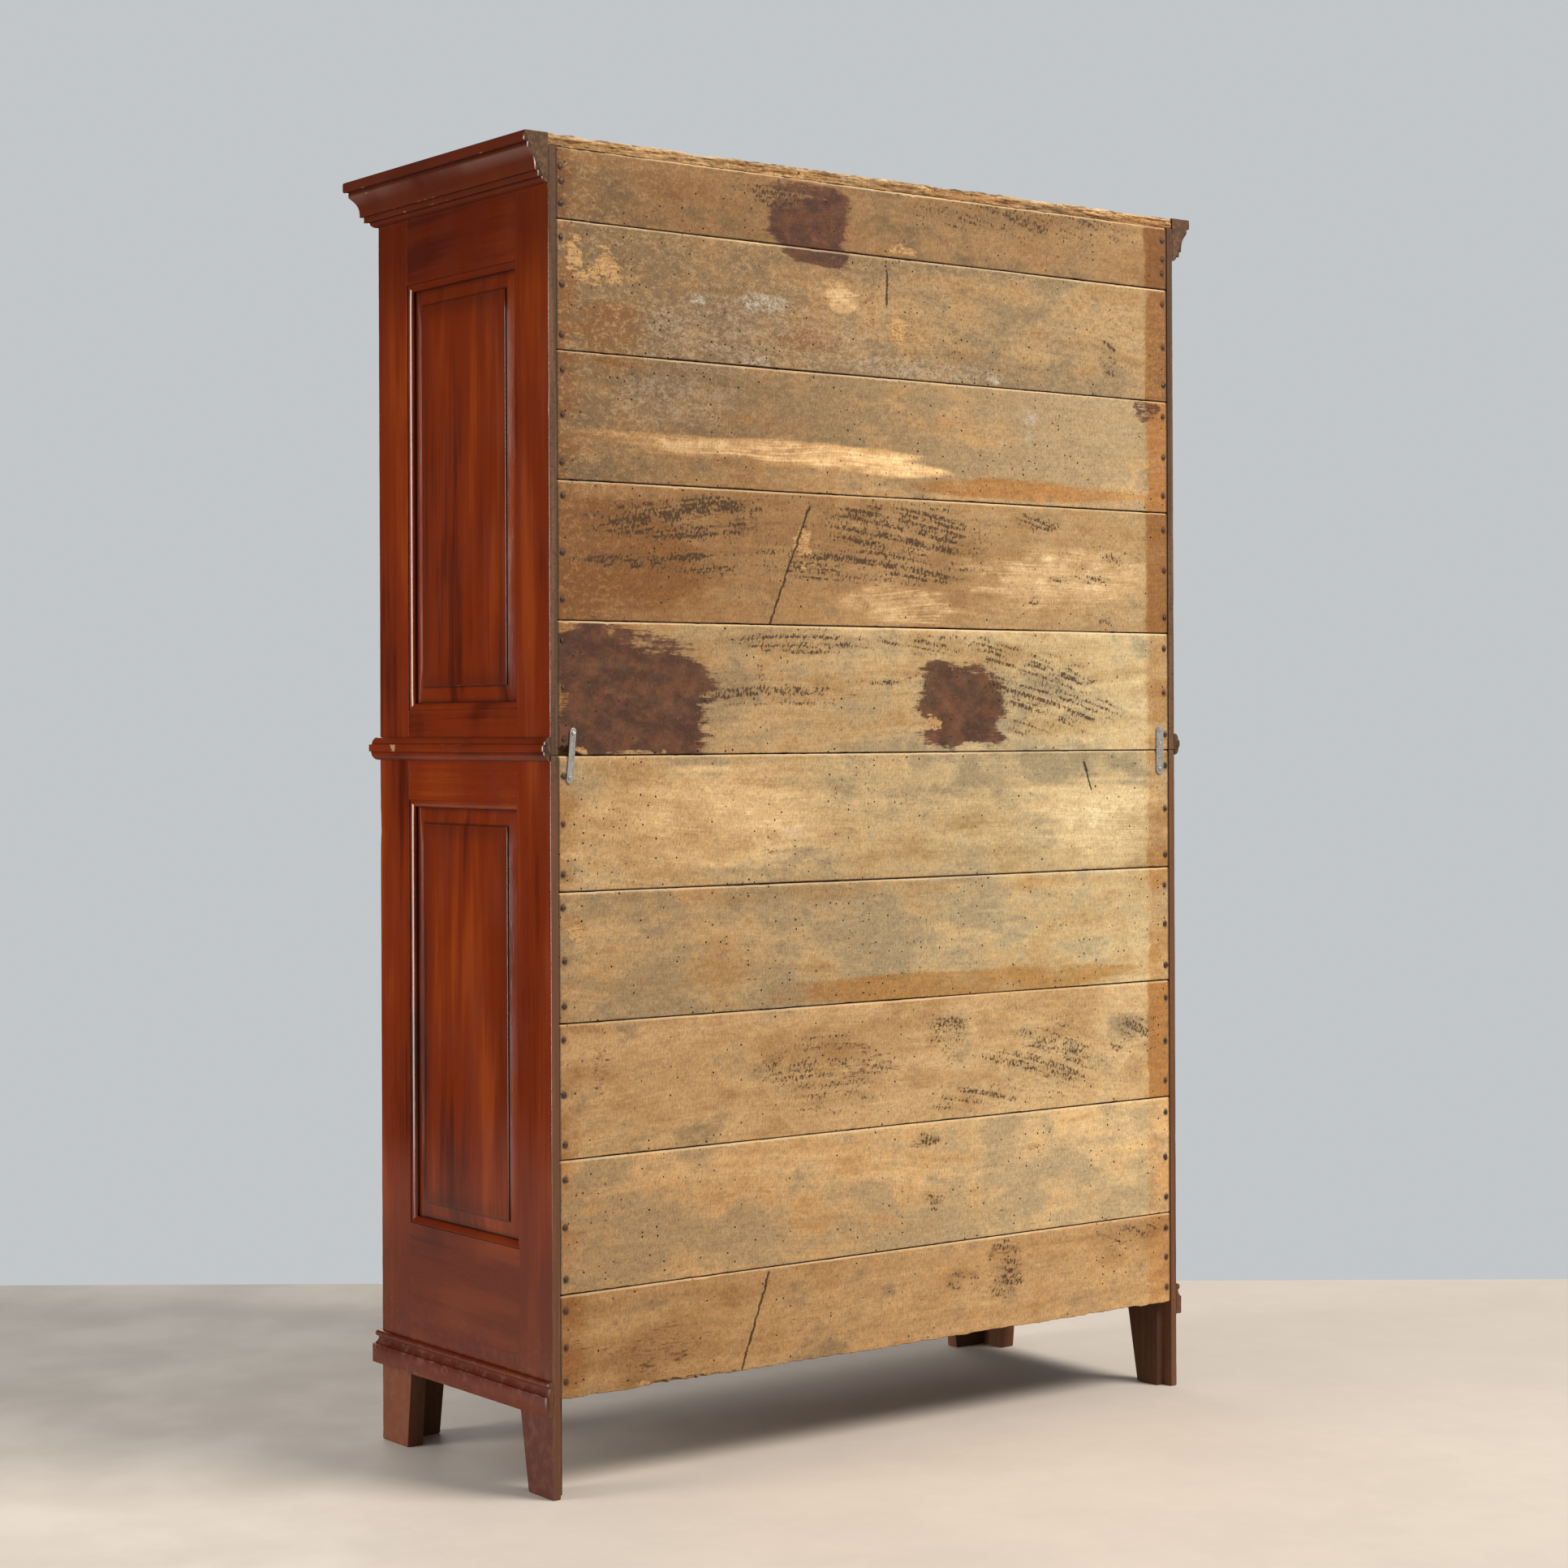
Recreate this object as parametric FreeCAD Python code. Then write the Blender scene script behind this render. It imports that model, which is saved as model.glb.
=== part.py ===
import FreeCAD
import Part
import math
import os

V = FreeCAD.Vector

# Wardrobe in two bodies, in millimetres.
# X runs across the front, Y from the front to the back, Z up from the floor.

# Carcass
CARCASS_WIDTH = 1550.0
CARCASS_DEPTH = 610.0
FOOT_HEIGHT = 150.0
LOWER_TOP = 1331.0
TOTAL_HEIGHT = 2445.0
ROOF_THICK = 22.0

# Side frames: stiles, and rails measured up to the outer edge of the panel moulding
SIDE_THICK = 34.0
SIDE_STILE = 110.0
SIDE_LOWER_BOTTOM_RAIL = 285.0
SIDE_LOWER_TOP_RAIL = 86.0
SIDE_UPPER_BOTTOM_RAIL = 85.0
SIDE_UPPER_TOP_RAIL = 193.0
FRONT_FOOT_TAPER = 16.0
REAR_FOOT_TAPER = 27.0

# Front frames between the sides
FRONT_THICK = 30.0
FRONT_STILE = 91.0
FACE_FOOT_TAPER = 15.0
FRONT_LOWER_BOTTOM_RAIL = 185.0
FRONT_LOWER_TOP_RAIL = 61.0
FRONT_UPPER_BOTTOM_RAIL = 54.0
FRONT_UPPER_TOP_RAIL = 133.0

# Moulding stuck on the inner edges of every panelled frame
STICK_WIDTH = 12.0
STICK_DEPTH = 8.0
QUIRK_DEPTH = 2.0
QUIRK_WIDTH = 1.5

# Mortise and tenon joints of the frames
TENON_THICK = 10.0
TENON_LENGTH = 60.0
TENON_SHOULDER = 15.0
TENON_ROOM = 1.0

# Fielded panels: tongue in the frame's groove, bevel, step and flat field
PANEL_SETBACK = 12.0
TONGUE_THICK = 8.0
TONGUE_REACH = 8.0
TONGUE_ROOM = 1.0
BEVEL_WIDTH = 30.0
BEVEL_RISE = 4.0
BEVEL_ROOM = 0.5
FIELD_STEP = 3.0

# Doors, set in the front frames
DOOR_STILE = 90.0
DOOR_RAIL = 90.0
DOOR_GAP = 2.0
MEETING_GAP = 3.0
STOP_GAP = 0.5

# Floors, lower top, shelves and cleats
FLOOR_THICK = 22.0
FLOOR_LIP = 8.0
HOUSING_DEPTH = 10.0
SHELF_THICK = 24.0
SHELF_SETBACK = 70.0
SHELF_ROOM = 1.0
LOWER_SHELF_TOP = 800.0
UPPER_SHELF_TOPS = [1690.0, 1990.0]
CLEAT_WIDTH = 20.0
CLEAT_HEIGHT = 30.0

# Back boards, from the bottom up: natural widths, trimmed alike where they don't fill their body's height
BACK_BOTTOM = 175.0
REBATE_LIP = 16.0
REBATE_DEPTH = 24.0
BOARD_THICK = 23.0
BOARD_GAP = 1.0
LOWER_BOARD_WIDTHS = [189.0, 242.0, 244.0, 236.0, 245.0]
UPPER_BOARD_WIDTHS = [243.0, 252.0, 232.0, 235.0, 130.0]

# Cornice, from the top down
CORNICE_OUT = 50.0
CORNICE_FASCIA = 20.0
CORNICE_STEP = 8.0
CORNICE_BAND = 10.0
COVE_OUT = 16.0
COVE_HEIGHT = 39.0
COVE_SAG = 5.0
CORNICE_FILLET_STEP = 6.0
CORNICE_FILLET = 11.0
CORNICE_OVOLO_STEP = 8.0
CORNICE_OVOLO = 10.0

# Waist moulding on the upper body, lapping down over the joint
WAIST_OUT = 16.0
WAIST_LAP = 10.0
WAIST_LAP_ROOM = 2.0
WAIST_TOP_OVOLO = 14.0
WAIST_TOP_STEP = 4.0
WAIST_BAND = 14.0
WAIST_LOWER_STEP = 3.0
WAIST_ROUND = 16.0
WAIST_SEAT = 3.0

# Plinth moulding: fascia, hollow and bead
PLINTH_OUT = 14.0
PLINTH_FASCIA = 36.0
PLINTH_SHELF = 3.0
PLINTH_HOLLOW = 14.0
PLINTH_HOLLOW_OUT = 5.0
PLINTH_BEAD = 12.0
PLINTH_BEAD_OUT = 10.0

# Sides of the hammered rods, barrels and bores of the ironwork
ROD_SIDES = 8

# Barrel hinges
LEAF_THICK = 2.0
LEAF_DEPTH = 22.0
HINGE_HEIGHT = 100.0
HINGE_INSET = 120.0
KNUCKLE_RADIUS = 6.0
KNUCKLE_CLEAR = 0.3
KNUCKLE_GAP = 0.4
TIP_RADIUS = 3.5
TIP_HEIGHT = 5.0
PIN_RADIUS = 3.0
PIN_FIT = 0.05
PIN_REACH = 40.0

# Locks on the right doors
LOCK_EDGE = 4.0
LOCK_WIDTH = 76.0
LOCK_DEPTH = 18.0
LOCK_WALL = 2.5
LOCK_HEAD_ROOM = 6.0
LOCK_FOOT_ROOM = 18.0
LOCK_PLAY = 0.3
LOCK_BOLT_LENGTH = 60.0
LOCK_BOLT_HEIGHT = 22.0
LOCK_BOLT_THICK = 8.0
LOCK_BOLT_BACK = 1.0
LOCK_TRAVEL = 18.0
LOCK_STUD_RADIUS = 3.0
TALON_WIDTH = 13.0
TALON_DEPTH = 6.5

# Keys and escutcheons
KEY_DROP = 9.0
KEY_INSET = 38.0
KEY_TURN = 100.0
KEY_RADIUS = 3.5
KEY_PLAY = 0.3
KEY_BIT_REACH = 14.0
KEY_BIT_WIDTH = 4.0
KEY_BIT_MARGIN = 1.0
KEY_STEM = 24.0
KEY_COLLAR_RADIUS = 5.5
KEY_COLLAR_LENGTH = 4.0
KEY_BOW_RADIUS = 9.0
KEY_BOW_WIRE = 2.5
KEYHOLE_WIDTH = 6.0
KEYHOLE_DROP = 16.0
ESCUTCHEON_WIDTH = 34.0
ESCUTCHEON_HEIGHT = 64.0
ESCUTCHEON_CORNER = 11.0
ESCUTCHEON_THICK = 2.0

# Slide bolts on the left doors
SLIDE_INSET = 30.0
SLIDE_PLATE_WIDTH = 32.0
SLIDE_PLATE_HEIGHT = 120.0
SLIDE_PLATE_THICK = 2.0
SLIDE_PLATE_DROP = 12.0
SLIDE_RADIUS = 5.0
SLIDE_PLAY = 0.4
SLIDE_TAIL = 10.0
SLIDE_TIP_DROP = 2.0
SLIDE_TRAVEL = 22.0
STAPLE_HEIGHT = 12.0
STAPLE_WALL = 4.0
KNOB_RADIUS = 5.0
KNOB_REACH = 16.0

# Steel mending plates across the joint of the bodies, on the back boards
PLATE_LENGTH = 100.0
PLATE_THICK = 2.5
PLATE_END_HOLE = 10.0
PLATE_MIDDLE_HOLE = 35.0
RIGHT_PLATE_WIDTH = 13.0
RIGHT_PLATE_INSET = 28.0
RIGHT_PLATE_TILT = 5.2
LEFT_PLATE_WIDTH = 20.0
LEFT_PLATE_INSET = 26.0
SCREW_RADIUS = 2.0
SCREW_LENGTH = 18.0
SCREW_HEAD_RADIUS = 4.0
SCREW_HEAD_TOP = 2.2
SCREW_HEAD = 1.5

# Forged nails in the ends of the back boards
NAILS_PER_END = 3
NAIL_END_INSET = 9.0
NAIL_SIDE_INSET = 32.0
NAIL_WIDTH = 4.0
NAIL_LENGTH = 38.0
NAIL_HEAD_WIDTH = 10.0
NAIL_HEAD = 2.0

# How far a cutting tool runs past the faces that it cuts
CUT_PAST = 1.0

# Places worked out from the sizes above
BOARD_RECESS = REBATE_DEPTH - BOARD_THICK
REAR_PROUD = PLATE_THICK + SCREW_HEAD - BOARD_RECESS
Y_FRONT = CORNICE_OUT - (CARCASS_DEPTH + CORNICE_OUT + REAR_PROUD) / 2
Y_BACK = Y_FRONT + CARCASS_DEPTH
Y_INNER_FRONT = Y_FRONT + FRONT_THICK
Y_INNER_BACK = Y_BACK - REBATE_DEPTH
Y_BOARD_FACE = Y_BACK - BOARD_RECESS
X_OUT = CARCASS_WIDTH / 2
X_IN = X_OUT - SIDE_THICK
X_OPEN = X_IN - FRONT_STILE
X_BOARD_END = X_OUT - REBATE_LIP - BOARD_GAP / 2
UPPER_TOP = TOTAL_HEIGHT - ROOF_THICK
LOWER_OPENING = (FOOT_HEIGHT + FRONT_LOWER_BOTTOM_RAIL, LOWER_TOP - FRONT_LOWER_TOP_RAIL)
UPPER_OPENING = (LOWER_TOP + FRONT_UPPER_BOTTOM_RAIL, UPPER_TOP - FRONT_UPPER_TOP_RAIL)
OPENINGS = {"lower": LOWER_OPENING, "upper": UPPER_OPENING}
DOOR_THICK = FRONT_THICK - STOP_GAP
DOOR_INNER = Y_FRONT + DOOR_THICK
DOOR_FREE_EDGE = MEETING_GAP / 2
DOOR_HINGE_EDGE = X_OPEN - DOOR_GAP
HINGE_X = X_OPEN - DOOR_GAP / 2
HINGE_Y = Y_FRONT - KNUCKLE_RADIUS - KNUCKLE_CLEAR

nodes = {}


def box(x0, x1, y0, y1, z0, z1):
    """Rectangular block between two corners."""
    return Part.makeBox(x1 - x0, y1 - y0, z1 - z0, V(x0, y0, z0))


def mirrored(shape):
    """The same shape on the other side of the wardrobe."""
    return shape.mirror(V(0, 0, 0), V(1, 0, 0))


def outline_face(path, to_world):
    """Face inside a closed path; a step of four numbers is an arc through its last pair."""
    edges = []
    for start, step in zip(path[-1:] + path[:-1], path):
        first = to_world(*start[:2])
        last = to_world(*step[:2])
        if len(step) == 4:
            edges.append(Part.Arc(first, to_world(*step[2:]), last).toShape())
        else:
            edges.append(Part.LineSegment(first, last).toShape())
    return Part.Face(Part.Wire(edges))


def front_prism(path, y0, y1):
    """Outline drawn in the front view, given a thickness along Y."""
    return outline_face(path, lambda x, z: V(x, y0, z)).extrude(V(0, y1 - y0, 0))


def plan_prism(path, z0, z1):
    """Outline drawn in plan, given a height."""
    return outline_face(path, lambda x, y: V(x, y, z0)).extrude(V(0, 0, z1 - z0))


def round_wire(radius, centre, axis):
    """Hammered round outline, square to an axis: a polygon with its corners on the radius."""
    across = V(axis.y, axis.z, axis.x)
    along = axis.cross(across)
    turns = [2 * math.pi * i / ROD_SIDES for i in range(ROD_SIDES)]
    corners = [centre + across * (radius * math.cos(a)) + along * (radius * math.sin(a)) for a in turns]
    return Part.makePolygon(corners + corners[:1])


def rod(radius, start, axis, length):
    """Hammered rod from a point along an axis."""
    return Part.Face(round_wire(radius, start, axis)).extrude(axis * length)


def bore(radius, start, axis, length):
    """Hole whose flats clear the radius all round."""
    return rod(radius / math.cos(math.pi / ROD_SIDES), start, axis, length)


def stud(radius, top_radius, start, axis, height):
    """Rod end that narrows towards its top."""
    wires = [round_wire(radius, start, axis), round_wire(top_radius, start + axis * height, axis)]
    return Part.makeLoft(wires, True, True)


def rectangle_wire(x0, x1, z0, z1, y):
    """Rectangle in a plane parallel to the front."""
    corners = [V(x0, y, z0), V(x1, y, z0), V(x1, y, z1), V(x0, y, z1)]
    return Part.makePolygon(corners + corners[:1])


def stick_path():
    """What the moulding plane takes off: a quirk at the face, then an ovolo to the panel."""
    round_out = STICK_WIDTH - QUIRK_WIDTH
    round_in = STICK_DEPTH - QUIRK_DEPTH
    half = math.sqrt(0.5)
    return [
        (0, -CUT_PAST),
        (STICK_WIDTH + CUT_PAST, -CUT_PAST),
        (STICK_WIDTH + CUT_PAST, STICK_DEPTH),
        (STICK_WIDTH, STICK_DEPTH),
        (QUIRK_WIDTH, QUIRK_DEPTH, QUIRK_WIDTH + round_out * half, STICK_DEPTH - round_in * half),
        (0, QUIRK_DEPTH),
    ]


def fielded_panel(left, right, bottom, top):
    """Panel for a sight opening: tongue all round, bevel, step and flat field."""
    reach = TONGUE_REACH
    tongue_back = PANEL_SETBACK + TONGUE_THICK
    tongue = box(left - reach, right + reach, PANEL_SETBACK, tongue_back, bottom - reach, top + reach)
    r = BEVEL_ROOM
    w = BEVEL_ROOM + BEVEL_WIDTH
    rise = PANEL_SETBACK - BEVEL_RISE
    outer = rectangle_wire(left + r, right - r, bottom + r, top - r, PANEL_SETBACK)
    inner = rectangle_wire(left + w, right - w, bottom + w, top - w, rise)
    bevel = Part.makeLoft([outer, inner], True, True)
    field = box(left + w, right - w, rise - FIELD_STEP, rise, bottom + w, top - w)
    return tongue.fuse([bevel, field]).removeSplitter()


def framed_panel(x0, x1, z0, z1, thick, stile, rails, tapers=None):
    """Mortised frame with a mitred stuck moulding and a fielded panel, facing the front on y = 0.

    rails gives the bottom and top rail heights; tapers, where given, makes the stiles run down
    to the floor as feet that narrow by these amounts on their inner edges.
    """
    left, right = x0 + stile, x1 - stile
    bottom, top = z0 + rails[0], z1 - rails[1]
    m = STICK_WIDTH
    reach = TONGUE_REACH + TONGUE_ROOM
    groove = box(left + m - reach, right - m + reach, PANEL_SETBACK, PANEL_SETBACK + TONGUE_THICK,
                 bottom + m - reach, top - m + reach)

    def stile_path(outer, edge, inward, taper):
        strip = edge + inward * m
        path = [(edge, z0), (edge, bottom), (strip, bottom + m), (strip, top - m), (edge, top), (edge, z1)]
        if taper is None:
            return path + [(outer, z1), (outer, z0)]
        return path + [(outer, z1), (outer, 0), (edge - inward * taper, 0)]

    def stick(corner, inward, run):
        return outline_face(stick_path(), lambda d, y: corner + inward * d + V(0, y, 0)).extrude(run)

    def tenons(low, high, room):
        ends = [(left - TENON_LENGTH - room, left), (right, right + TENON_LENGTH + room)]
        y0 = PANEL_SETBACK
        return [box(a, b, y0, y0 + TENON_THICK, low + TENON_SHOULDER, high - TENON_SHOULDER) for a, b in ends]

    across = V(right - left, 0, 0)
    upward = V(0, 0, top - bottom)
    tapers = tapers or (None, None)
    mortises = tenons(z0, bottom, TENON_ROOM) + tenons(top, z1, TENON_ROOM)
    left_stile = front_prism(stile_path(x0, left, 1, tapers[0]), 0, thick)
    left_stile = left_stile.cut([stick(V(left, 0, bottom), V(1, 0, 0), upward), groove] + mortises)
    right_stile = front_prism(stile_path(x1, right, -1, tapers[1]), 0, thick)
    right_stile = right_stile.cut([stick(V(right, 0, bottom), V(-1, 0, 0), upward), groove] + mortises)
    low_path = [(left, z0), (right, z0), (right, bottom), (right - m, bottom + m), (left + m, bottom + m),
                (left, bottom)]
    low_rail = front_prism(low_path, 0, thick)
    low_rail = low_rail.cut([stick(V(left, 0, bottom), V(0, 0, 1), across), groove])
    low_rail = low_rail.fuse(tenons(z0, bottom, 0))
    top_path = [(left, top), (left + m, top - m), (right - m, top - m), (right, top), (right, z1), (left, z1)]
    top_rail = front_prism(top_path, 0, thick)
    top_rail = top_rail.cut([stick(V(left, 0, top), V(0, 0, -1), across), groove])
    top_rail = top_rail.fuse(tenons(top, z1, 0))
    panel = fielded_panel(left + m, right - m, bottom + m, top - m)
    return [left_stile, right_stile, low_rail, top_rail], panel


def turned_to_side(shape):
    """Turns a piece that faces the front so that it faces out of the right side."""
    turned = shape.copy()
    turned.rotate(V(0, 0, 0), V(0, 0, 1), 90)
    turned.translate(V(X_OUT, 0, 0))
    return turned


def back_board_spans():
    """Bottom and top of each back board, by body."""
    spans = {}
    for body, low, high, widths in (("lower", BACK_BOTTOM, LOWER_TOP, LOWER_BOARD_WIDTHS),
                                    ("upper", LOWER_TOP, UPPER_TOP, UPPER_BOARD_WIDTHS)):
        trim = (high - low) / sum(widths)
        edges = [low]
        for width in widths:
            edges.append(edges[-1] + width * trim)
        spans[body] = [(a + BOARD_GAP / 2, b - BOARD_GAP / 2) for a, b in zip(edges, edges[1:])]
    return spans


def spike(x, z, width, y, tip_y):
    """Four-sided point that rises from a square at y to its tip."""
    a = width / 2
    foot = rectangle_wire(x - a, x + a, z - a, z + a, y)
    return Part.makeLoft([foot, Part.Vertex(V(x, tip_y, z))], True, True)


def nail(x, z):
    """Forged nail, driven in from behind: a shank tapered to a point, under a head of four facets."""
    shank = spike(x, z, NAIL_WIDTH, Y_BOARD_FACE, Y_BOARD_FACE - NAIL_LENGTH)
    return shank.fuse(spike(x, z, NAIL_HEAD_WIDTH, Y_BOARD_FACE, Y_BOARD_FACE + NAIL_HEAD))


def nail_places(low, high):
    """Places of the nails in the right end of one board."""
    first, last = low + NAIL_SIDE_INSET, high - NAIL_SIDE_INSET
    step = (last - first) / (NAILS_PER_END - 1)
    return [(X_BOARD_END - NAIL_END_INSET, first + step * i) for i in range(NAILS_PER_END)]


def screw(x, z, face):
    """Raised-head wood screw, driven in from behind."""
    shank = rod(SCREW_RADIUS, V(x, face - PLATE_THICK - SCREW_LENGTH, z), V(0, 1, 0),
                SCREW_LENGTH + PLATE_THICK)
    return shank.fuse(stud(SCREW_HEAD_RADIUS, SCREW_HEAD_TOP, V(x, face, z), V(0, 1, 0), SCREW_HEAD))


def moulding_run(path):
    """Moulding in three mitred lengths; the path gives the reach out and the height of its section."""
    reach = max(step[0] for step in path) + CUT_PAST
    z0 = min(step[1] for step in path) - CUT_PAST
    z1 = max(step[1] for step in path) + CUT_PAST
    front = outline_face(path, lambda out, z: V(-X_OUT - reach, Y_FRONT - out, z))
    front = front.extrude(V(2 * (X_OUT + reach), 0, 0))
    front = front.common(plan_prism([(-X_OUT, Y_FRONT), (X_OUT, Y_FRONT), (X_OUT + reach, Y_FRONT - reach),
                                     (-X_OUT - reach, Y_FRONT - reach)], z0, z1))
    right = outline_face(path, lambda out, z: V(X_OUT + out, Y_FRONT - reach, z))
    right = right.extrude(V(0, CARCASS_DEPTH + reach, 0))
    right = right.common(plan_prism([(X_OUT, Y_FRONT), (X_OUT + reach, Y_FRONT - reach),
                                     (X_OUT + reach, Y_BACK), (X_OUT, Y_BACK)], z0, z1))
    return front, mirrored(right), right


def cornice_path():
    """Section of the cornice: fascia, band, cove, fillet and ovolo, from the top down."""
    z = TOTAL_HEIGHT
    out = CORNICE_OUT
    path = [(0, z), (out, z), (out, z - CORNICE_FASCIA)]
    out, z = out - CORNICE_STEP, z - CORNICE_FASCIA
    path += [(out, z), (out, z - CORNICE_BAND)]
    z -= CORNICE_BAND
    middle = (out - COVE_OUT / 2 - COVE_SAG, z - COVE_HEIGHT / 2 + COVE_SAG * COVE_OUT / COVE_HEIGHT)
    out, z = out - COVE_OUT, z - COVE_HEIGHT
    path.append((out, z) + middle)
    out -= CORNICE_FILLET_STEP
    path += [(out, z), (out, z - CORNICE_FILLET)]
    z -= CORNICE_FILLET
    out -= CORNICE_OVOLO_STEP
    half = math.sqrt(0.5)
    path += [(out, z), (0, z - CORNICE_OVOLO, out * half, z - CORNICE_OVOLO * half)]
    return path


def waist_path():
    """Section of the waist moulding: ovolo, step, band, step and quarter round, relieved at its lap."""
    z = LOWER_TOP - WAIST_LAP
    half = math.sqrt(0.5)
    band_out, low_out = WAIST_OUT, WAIST_OUT - WAIST_LOWER_STEP
    round_out = low_out - WAIST_SEAT
    band_low = z + WAIST_ROUND
    band_high = band_low + WAIST_BAND
    top_out = band_out - WAIST_TOP_STEP
    top = band_high + WAIST_TOP_OVOLO
    top_seat = top_out - WAIST_SEAT
    return [
        (0, LOWER_TOP),
        (WAIST_LAP_ROOM, LOWER_TOP),
        (WAIST_LAP_ROOM, z),
        (WAIST_SEAT, z),
        (low_out, band_low, WAIST_SEAT + round_out * half, band_low - WAIST_ROUND * half),
        (band_out, band_low),
        (band_out, band_high),
        (top_out, band_high),
        (WAIST_SEAT, top, WAIST_SEAT + top_seat * half, band_high + WAIST_TOP_OVOLO * half),
        (0, top),
    ]


def plinth_path():
    """Section of the plinth: fascia, hollow and bead."""
    z = FOOT_HEIGHT
    fascia_top = z + PLINTH_FASCIA
    hollow_top = fascia_top + PLINTH_HOLLOW
    bead_top = hollow_top + PLINTH_BEAD
    shelf = PLINTH_OUT - PLINTH_SHELF
    sag = (shelf - PLINTH_HOLLOW_OUT) / 4
    hollow_mid = ((shelf + PLINTH_HOLLOW_OUT) / 2 - sag, fascia_top + PLINTH_HOLLOW / 2)
    return [
        (0, z),
        (PLINTH_OUT, z),
        (PLINTH_OUT, fascia_top),
        (shelf, fascia_top),
        (PLINTH_HOLLOW_OUT, hollow_top) + hollow_mid,
        (PLINTH_HOLLOW_OUT, bead_top, PLINTH_BEAD_OUT, hollow_top + PLINTH_BEAD / 2),
        (0, bead_top),
    ]


def knuckle(z0, z1, tip_up):
    """Turned barrel with a small tip at its outer end, bored for the pin."""
    barrel = rod(KNUCKLE_RADIUS, V(HINGE_X, HINGE_Y, z0), V(0, 0, 1), z1 - z0)
    tip_at = V(HINGE_X, HINGE_Y, z1 if tip_up else z0)
    return barrel.fuse(stud(KNUCKLE_RADIUS, TIP_RADIUS, tip_at, V(0, 0, 1 if tip_up else -1), TIP_HEIGHT))


def hinge(centre):
    """Right-hand barrel hinge: carcass leaf, door leaf, pin and the two recesses for the leaves."""
    low, high = centre - HINGE_HEIGHT / 2, centre + HINGE_HEIGHT / 2
    y0, y1 = Y_FRONT + KNUCKLE_GAP, Y_FRONT + LEAF_DEPTH
    pin_foot = V(HINGE_X, HINGE_Y, centre - PIN_REACH)
    pin_hole = bore(PIN_RADIUS + PIN_FIT, pin_foot, V(0, 0, 1), 2 * PIN_REACH + KNUCKLE_GAP)
    half_gap = KNUCKLE_GAP / 2
    leaves = []
    for x0, tip_up, z0, z1 in ((X_OPEN, False, low, centre - half_gap),
                               (DOOR_HINGE_EDGE - LEAF_THICK, True, centre + half_gap, high)):
        leaf = box(x0, x0 + LEAF_THICK, y0, y1, low, high)
        neck = box(x0, x0 + LEAF_THICK, HINGE_Y, y0, z0, z1)
        leaves.append(leaf.fuse([neck, knuckle(z0, z1, tip_up)]).cut(pin_hole))
    pin = Part.makeCylinder(PIN_RADIUS, 2 * PIN_REACH, pin_foot)
    recesses = [box(x0, x0 + LEAF_THICK, Y_FRONT - CUT_PAST, y1, low, high)
                for x0 in (X_OPEN, DOOR_HINGE_EDGE - LEAF_THICK)]
    return leaves[0], leaves[1], pin, recesses


def rail_tenons(low, high, room):
    """Both tenons of a front rail in one bar through the rail, longer by the room left in the mortises."""
    reach = X_OPEN + TENON_LENGTH + room
    y0 = Y_FRONT + (FRONT_THICK - TENON_THICK) / 2
    return box(-reach, reach, y0, y0 + TENON_THICK, low + TENON_SHOULDER, high - TENON_SHOULDER)


def hinge_heights(opening):
    """Heights of the two hinges of a door."""
    return [opening[0] + DOOR_GAP + HINGE_INSET, opening[1] - DOOR_GAP - HINGE_INSET]


def lock_height(opening):
    """Height of the middle of the lock's bolt."""
    return (opening[0] + opening[1]) / 2


def key_axis(opening):
    """Where the key's axis crosses the front view."""
    x = DOOR_FREE_EDGE + LOCK_EDGE + KEY_INSET
    return x, lock_height(opening) - LOCK_BOLT_HEIGHT / 2 - KEY_DROP


def lock_case(opening):
    """Iron box on the door's inner face, open towards the door, with a slot and a stud for the bolt."""
    mid = lock_height(opening)
    key_x, key_z = key_axis(opening)
    x0 = DOOR_FREE_EDGE + LOCK_EDGE
    x1 = x0 + LOCK_WIDTH
    z0, z1 = key_z - LOCK_FOOT_ROOM, mid + LOCK_BOLT_HEIGHT / 2 + LOCK_HEAD_ROOM
    y1 = DOOR_INNER + LOCK_DEPTH
    w = LOCK_WALL
    shell = box(x0, x1, DOOR_INNER, y1, z0, z1)
    shell = shell.cut(box(x0 + w, x1 - w, DOOR_INNER - CUT_PAST, y1 - w, z0 + w, z1 - w))
    half = LOCK_BOLT_HEIGHT / 2 + LOCK_PLAY
    bolt_y = DOOR_INNER + LOCK_BOLT_BACK
    slot = box(x0 - CUT_PAST, x0 + w + CUT_PAST, bolt_y - LOCK_PLAY, bolt_y + LOCK_BOLT_THICK + LOCK_PLAY,
               mid - half, mid + half)
    stud_x = x0 + LOCK_BOLT_LENGTH / 2
    guide = rod(LOCK_STUD_RADIUS, V(stud_x, bolt_y, mid), V(0, 1, 0), y1 - w - bolt_y)
    post_y = bolt_y + LOCK_BOLT_THICK + LOCK_PLAY
    post = Part.makeCylinder(KEY_RADIUS, y1 - w - post_y, V(key_x, post_y, key_z), V(0, 1, 0))
    return shell.cut(slot).fuse([guide, post])


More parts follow.
